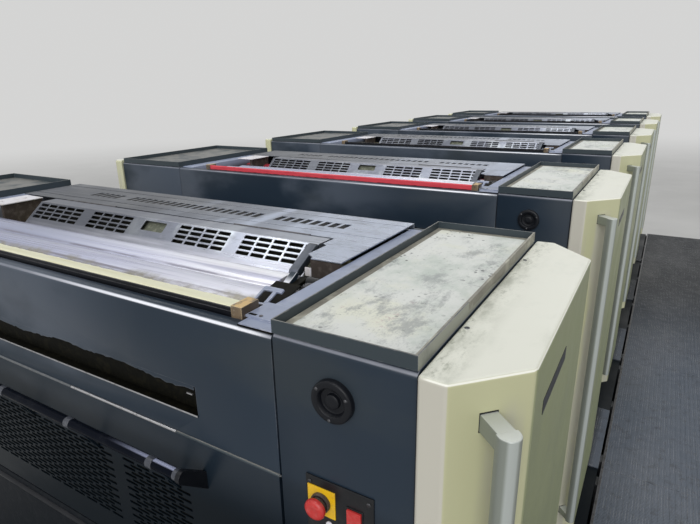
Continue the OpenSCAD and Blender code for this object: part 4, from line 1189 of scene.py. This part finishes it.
def roller_surrounds():
    """Roller guards, and what shows beside them: arch, ledges, catches, gears and end plates."""
    show("curved_guards", roller_guard_form(), [POLISHED, DARK_STEEL], edge=0.5,
         stands_for=("roller_guards",))

    arch = Form()
    place = Matrix.Translation((0, 80, -25)) @ Matrix.Rotation(math.radians(21), 4, "X")
    arch.cut_plate([(-341, 0), (-309, 0), (-309, 34), (-299, 34), (-299, 43), (-302, 44), (-338, 44),
                    (-341, 41)], [rounded_box(20, 30, 2.0, (-326, 19), 3)], 4, place, edge=0.7)
    # Painted shade: near-black plates under the arch and under the ends of the roller guards.
    place = Matrix.Translation((0, 80, -36)) @ Matrix.Rotation(math.radians(12), 4, "X")
    arch.cut_plate(rect(-354, 2, -299, 90), [], 1, place, mark=1)
    arch.slab((-386, 160, -58), (-312, 300, -54), 1)
    arch.rod((-328, 86, -42), (-324, 122, -31), 2.2, 16, mark=3)
    arch.slab((-306, 27, -23), (-240, 84, -19.2))
    arch.slab((-300, 3, -25.8), (-235, 60, -22.6))
    # Painted shadow: a dark strip in the crease under the ledge's front edge.
    arch.slab((-301, 1.6, -26.6), (-234, 3.4, -24.4), 1)
    # Painted shade: a dark plate for the slot in the ledge.
    arch.slab((-304, 31, -19.3), (-289, 36.5, -18.9), 1)
    arch.turned((-280, 34, -19.4), UP, [(0, 3.4), (1.0, 3.4), (1.6, 2.2)], 20, mark=2)
    show("bracket_arches", arch, [FRAME_PAINT, SHADE_BLACK, DARK_STEEL, OLIVE_PLATE], edge=0.5)

    catch = Form().bar(-368, 15, [(250, -28), (257, -34), (240, -58), (216, -58), (224, -42)])
    # Painted shade: a near-black mass behind the catch.
    catch.bar(-350, 17, [(262, -40), (276, -50), (276, -58), (214, -58), (222, -46)], 1)
    show("guard_catches", catch, [SLATE, SHADE_BLACK], edge=1.5)

    well = Form()
    well.slab((-372, 303.4, -92), (-299, 306, -18.4), 0)
    well.slab((-385, 300.4, -78), (-370, 303.4, -36), 1)
    gear_y, gear_z, corners = 192, -62, 72
    teeth = []
    for k in range(corners):
        angle = math.tau * k / corners
        far = 39.0 if k % 2 else 35.5
        teeth.append((gear_y + far * math.cos(angle), gear_z + far * math.sin(angle)))
    well.bar(-300, 9, teeth, 2)
    inner = [(gear_y + 0.8 * (y - gear_y), gear_z + 0.8 * (z - gear_z)) for y, z in teeth[::3]]
    well.bar(-311, 6, inner, 2)
    well.rod((-299, 228, -33), (-327, 228, -33), 9, 24, mark=3, chamfer=1.5)
    well.rod((-299, 262, -52), (-329, 262, -52), 12, 24, mark=2, chamfer=1.0)
    show("side_gears", well, [BROWN_WALL, WHITE, DARK_STEEL, PLASTIC])

    end = Form()
    end.slab((-1572, 311, -86), (-1558, 438, -17), 0)
    end.cut_plate(rect(-1646, 306, -1552, 438), [arc((-1600, y), 5, 0, 345, 16) for y in (335, 408)], 3,
                  Matrix.Translation((0, 0, -15)), mark=1, edge=0.5)
    show("end_plates", end, [BROWN_WALL, WHITE])


def ink_beds():
    """Duct beam, its brackets, the film of ink on it and the rollers behind."""
    duct = Form()
    duct.bar(-330, 1230, [(24, -92), (24, -12.6), (24.6, -12), (27.4, -12), (28, -12.6), (28, -17),
                          (78, -33), (78, -92)])
    duct.slab((-1558, 23.3, -18.6), (-332, 24.2, -17.7), 1)
    show("duct_beams", duct, [ENAMEL, DARK_STEEL], edge=0.3, stands_for=("ink_ducts",))

    blocks = dressed_node("duct_brackets", BROWN, 1.5)
    for vertex in blocks.data.vertices:
        y = (vertex.co.y / MM - FIRST_Y) % PITCH
        if abs(y - 78) < 2:
            vertex.co.y -= 16 * MM
    dressed_node("tower_frames", FRAME_PAINT, 2.0)

    def film(i):
        """Ink on the duct's blade, with a wavering back edge. In unit 2 it has run over the lip."""
        rings = []
        for k in range(124):
            x = -331 - 1228 * k / 123
            edge = 79.5 + random.uniform(-1.2, 1.2)
            swell = random.uniform(-0.25, 0.25)
            if i == 2:
                section = [(22.4, -25 + 3 * swell), (22.4, -11), (26, -8 + swell), (52, -14 + swell),
                           (edge, -26.2), (edge + 0.8, -31.8)]
            else:
                section = [(28.3, -16.7), (28.3, -13.2 + swell), (31, -12.6 + swell), (52, -19.0 + swell),
                           (edge, -25.6), (edge + 0.8, -31.8)]
            rings.append([(x, y, z) for y, z in section])
        return Form().loft(rings)
    by_unit("ink_layers", film, INKS, stands_for=("ink_films",))

    def rollers(_):
        """The same inking rollers in every unit."""
        form = Form()
        for y, z in ((140, -120), (235, -125), (330, -130), (420, -90), (380.3, -190)):
            form.rod((-298, y, z), (-1675, y, z), 38, 40)
        return form
    by_unit("inking_rollers", rollers, ROLLERS, stands_for=("ink_rollers",))


# Drive side, back and deck

DECK_THICK = 8


def drive_side():
    """Pale cover along the drive side, with a pair of flush doors in each unit."""
    low_corner, high_corner = unit_box("drive_covers")
    dressed_node("drive_covers", CREAM, 2.5, segments=3)
    doors = Form()
    x, bottom, top = low_corner.x, low_corner.z + 60, high_corner.z - 90
    middle = DEPTH / 2
    for y0, y1 in ((26, middle - 2), (middle + 2, DEPTH - 26)):
        doors.slab((x, y0, bottom), (x + 1.5, y1, top))
    show("drive_doors", doors, CREAM, edge=0.7)


def back_side():
    """The back repeats the front: an upper guard, a lower guard and a plain panel."""
    low_corner, high_corner = unit_box("back_panels")
    x0, x1 = low_corner.x, high_corner.x
    back = Form()
    for top, bottom, slit in ((high_corner.z, -281, 2.5), (-285, -655, 5), (-660, low_corner.z, 1)):
        back.slab((x0 + slit, DEPTH - 20, bottom), (x1 - slit, DEPTH, top))
    show("back_guards", back, SLATE, edge=3, segments=3, stands_for=("back_panels",))


def ribbed_deck(x0, x1, y0, y1, trim):
    """A deck plate with ribs along Y on its top, and a plain margin along its sides."""
    top, pitch, rib = DECK_Z, 22, 12
    form = Form().slab((x0, y0, top - DECK_THICK), (x1, y1, top - 1.5))
    count = int((x1 - x0 - 2 * trim) / pitch)
    start = (x0 + x1 - count * pitch) / 2
    for k in range(count):
        x = start + (k + 0.5) * pitch
        form.slab((x - rib / 2, y0 + 1.0, top - 1.6), (x + rib / 2, y1 - 1.0, top))
    return form


def decks():
    """Gallery deck and the plates between the units."""
    low_corner, high_corner = unit_box("gallery_decks")
    y0, y1 = -GAP + 0.2, DEPTH - 0.2
    deck = ribbed_deck(low_corner.x, high_corner.x, y0, y1, trim=16)
    for x in (low_corner.x, high_corner.x - 11):
        deck.slab((x, y0, DECK_Z - DECK_THICK), (x + 11, y1, DECK_Z - 0.2), 1)
    for x in (low_corner.x + 5.5, high_corner.x - 5.5):
        for k in range(8):
            spot = (x, y0 + 75 + 150 * k, DECK_Z - 0.5)
            deck.turned(spot, UP, [(0, 4), (0.3, 4), (0.45, 2.8)], 16, mark=2)
    show("gallery_treads", deck, [TREAD, DARK_STEEL, IRON], stands_for=("gallery_decks",))

    low_corner, high_corner = unit_box("gap_decks")
    plate = ribbed_deck(low_corner.x, high_corner.x, -GAP, 0, trim=14)
    show("walk_plates", plate, TREAD, stands_for=("gap_decks",))
    dressed_node("step_treads", TREAD, 1.5)


def carried_over():
    """CAD nodes whose shape is kept: only their finish is set."""
    for node, finish in (("machine_feet", IRON), ("base_frames", FRAME_PAINT),
                         ("printing_cylinders", CYLINDER)):
        data = frame["nodes"][node].data
        data.materials.clear()
        data.materials.append(finish)


# Camera, light and floor

def camera():
    """The photograph's viewpoint, above the gallery deck beside the first unit."""
    eye = Vector((FACE_X, FIRST_Y, RIM_Z)) * MM + Vector((0.2276, -0.5442, 0.3170))
    yaw, pitch, roll = 0.5369, 0.319, -0.0183
    turn = Matrix.Rotation(yaw, 3, "Z")
    forward = turn @ Vector((0, math.cos(pitch), -math.sin(pitch)))
    right = turn @ Vector((1, 0, 0))
    up = right.cross(forward)
    r = right * math.cos(roll) + up * math.sin(roll)
    u = up * math.cos(roll) - right * math.sin(roll)
    data = bpy.data.cameras.new("camera")
    data.lens = 27.11
    data.sensor_width = 36
    data.clip_end = 200
    holder = linked("camera", data)
    rotation = Matrix((r, u, -forward)).transposed().to_4x4()
    holder.matrix_world = Matrix.Translation(eye) @ rotation
    bpy.context.scene.camera = holder


PALE = (0.66, 0.66, 0.655)


def light():
    """Long soft lamps over the row, as in a workshop, and a pale surround."""
    for x, watts in ((-2.6, 62), (0.2, 66)):
        data = bpy.data.lights.new("tube", "AREA")
        data.shape = "RECTANGLE"
        data.size, data.size_y = 0.5, 11.0
        data.energy = watts
        linked("tube", data).location = (x, 0.5, 5.4)
    window = linked("window", bpy.data.lights.new("window", "SUN"))
    window.data.energy = 1.7
    window.data.angle = math.radians(50)
    window.rotation_euler = Vector((0.28, -0.82, 0.5)).to_track_quat("Z", "Y").to_euler()
    world = bpy.data.worlds.new("surround")
    bpy.context.scene.world = world
    tree = Tree(world)
    path = tree.node("LightPath").outputs
    shown = tree.node("Math", {0: path["Is Camera Ray"], 1: path["Is Glossy Ray"]}, operation="MAXIMUM")
    both = tree.node("Math", {0: shown.outputs[0], 1: path["Is Transmission Ray"]}, operation="MAXIMUM")
    soft = tree.node("Background", {"Color": (1, 1, 1), "Strength": 0.36})
    pale = tree.node("Background", {"Color": PALE, "Strength": 1.0})
    mix = tree.node("MixShader", {0: both.outputs[0], 1: soft.outputs[0], 2: pale.outputs[0]})
    tree.node("OutputWorld", {"Surface": mix.outputs[0]})


def floor():
    """A pale floor that fades into the surround far from the row."""
    form = Form()
    form.turned((0, 0, 0), UP, [(-20, 60000), (-0.5, 60000)], 96)
    mesh = form.mesh("floor", [Matrix.Scale(MM, 4)])
    p = Paint("floor", (0.58, 0.58, 0.57), rough=0.7, specular=0.25)
    p.mottle((0.63, 0.63, 0.62), 0.35, 0.7, 1, 0.8, detail=4)
    length = p.node("VectorMath", {0: p.coords}, operation="LENGTH").outputs["Value"]
    far = p.span(length, 9.0, 26.0)
    emission = p.node("Emission", {"Color": PALE, "Strength": 1.0})
    mix = p.node("MixShader", {0: far, 1: p.shader.outputs[0], 2: emission.outputs[0]})
    p.fill(p.output.inputs["Surface"], mix.outputs[0])
    mesh.materials.append(p.material)
    ground = linked("floor", mesh)


random.seed(RANDOM_SEED)
camera()
light()
floor()
operator_side()
grab_handle()
knob_cup()
control_plate()
trays()
guards()
lower_guards()
grip_bars()
ink_covers()
fixed_covers()
roller_surrounds()
ink_beds()
drive_side()
back_side()
decks()
carried_over()
bpy.context.scene.view_settings.view_transform = "Standard"
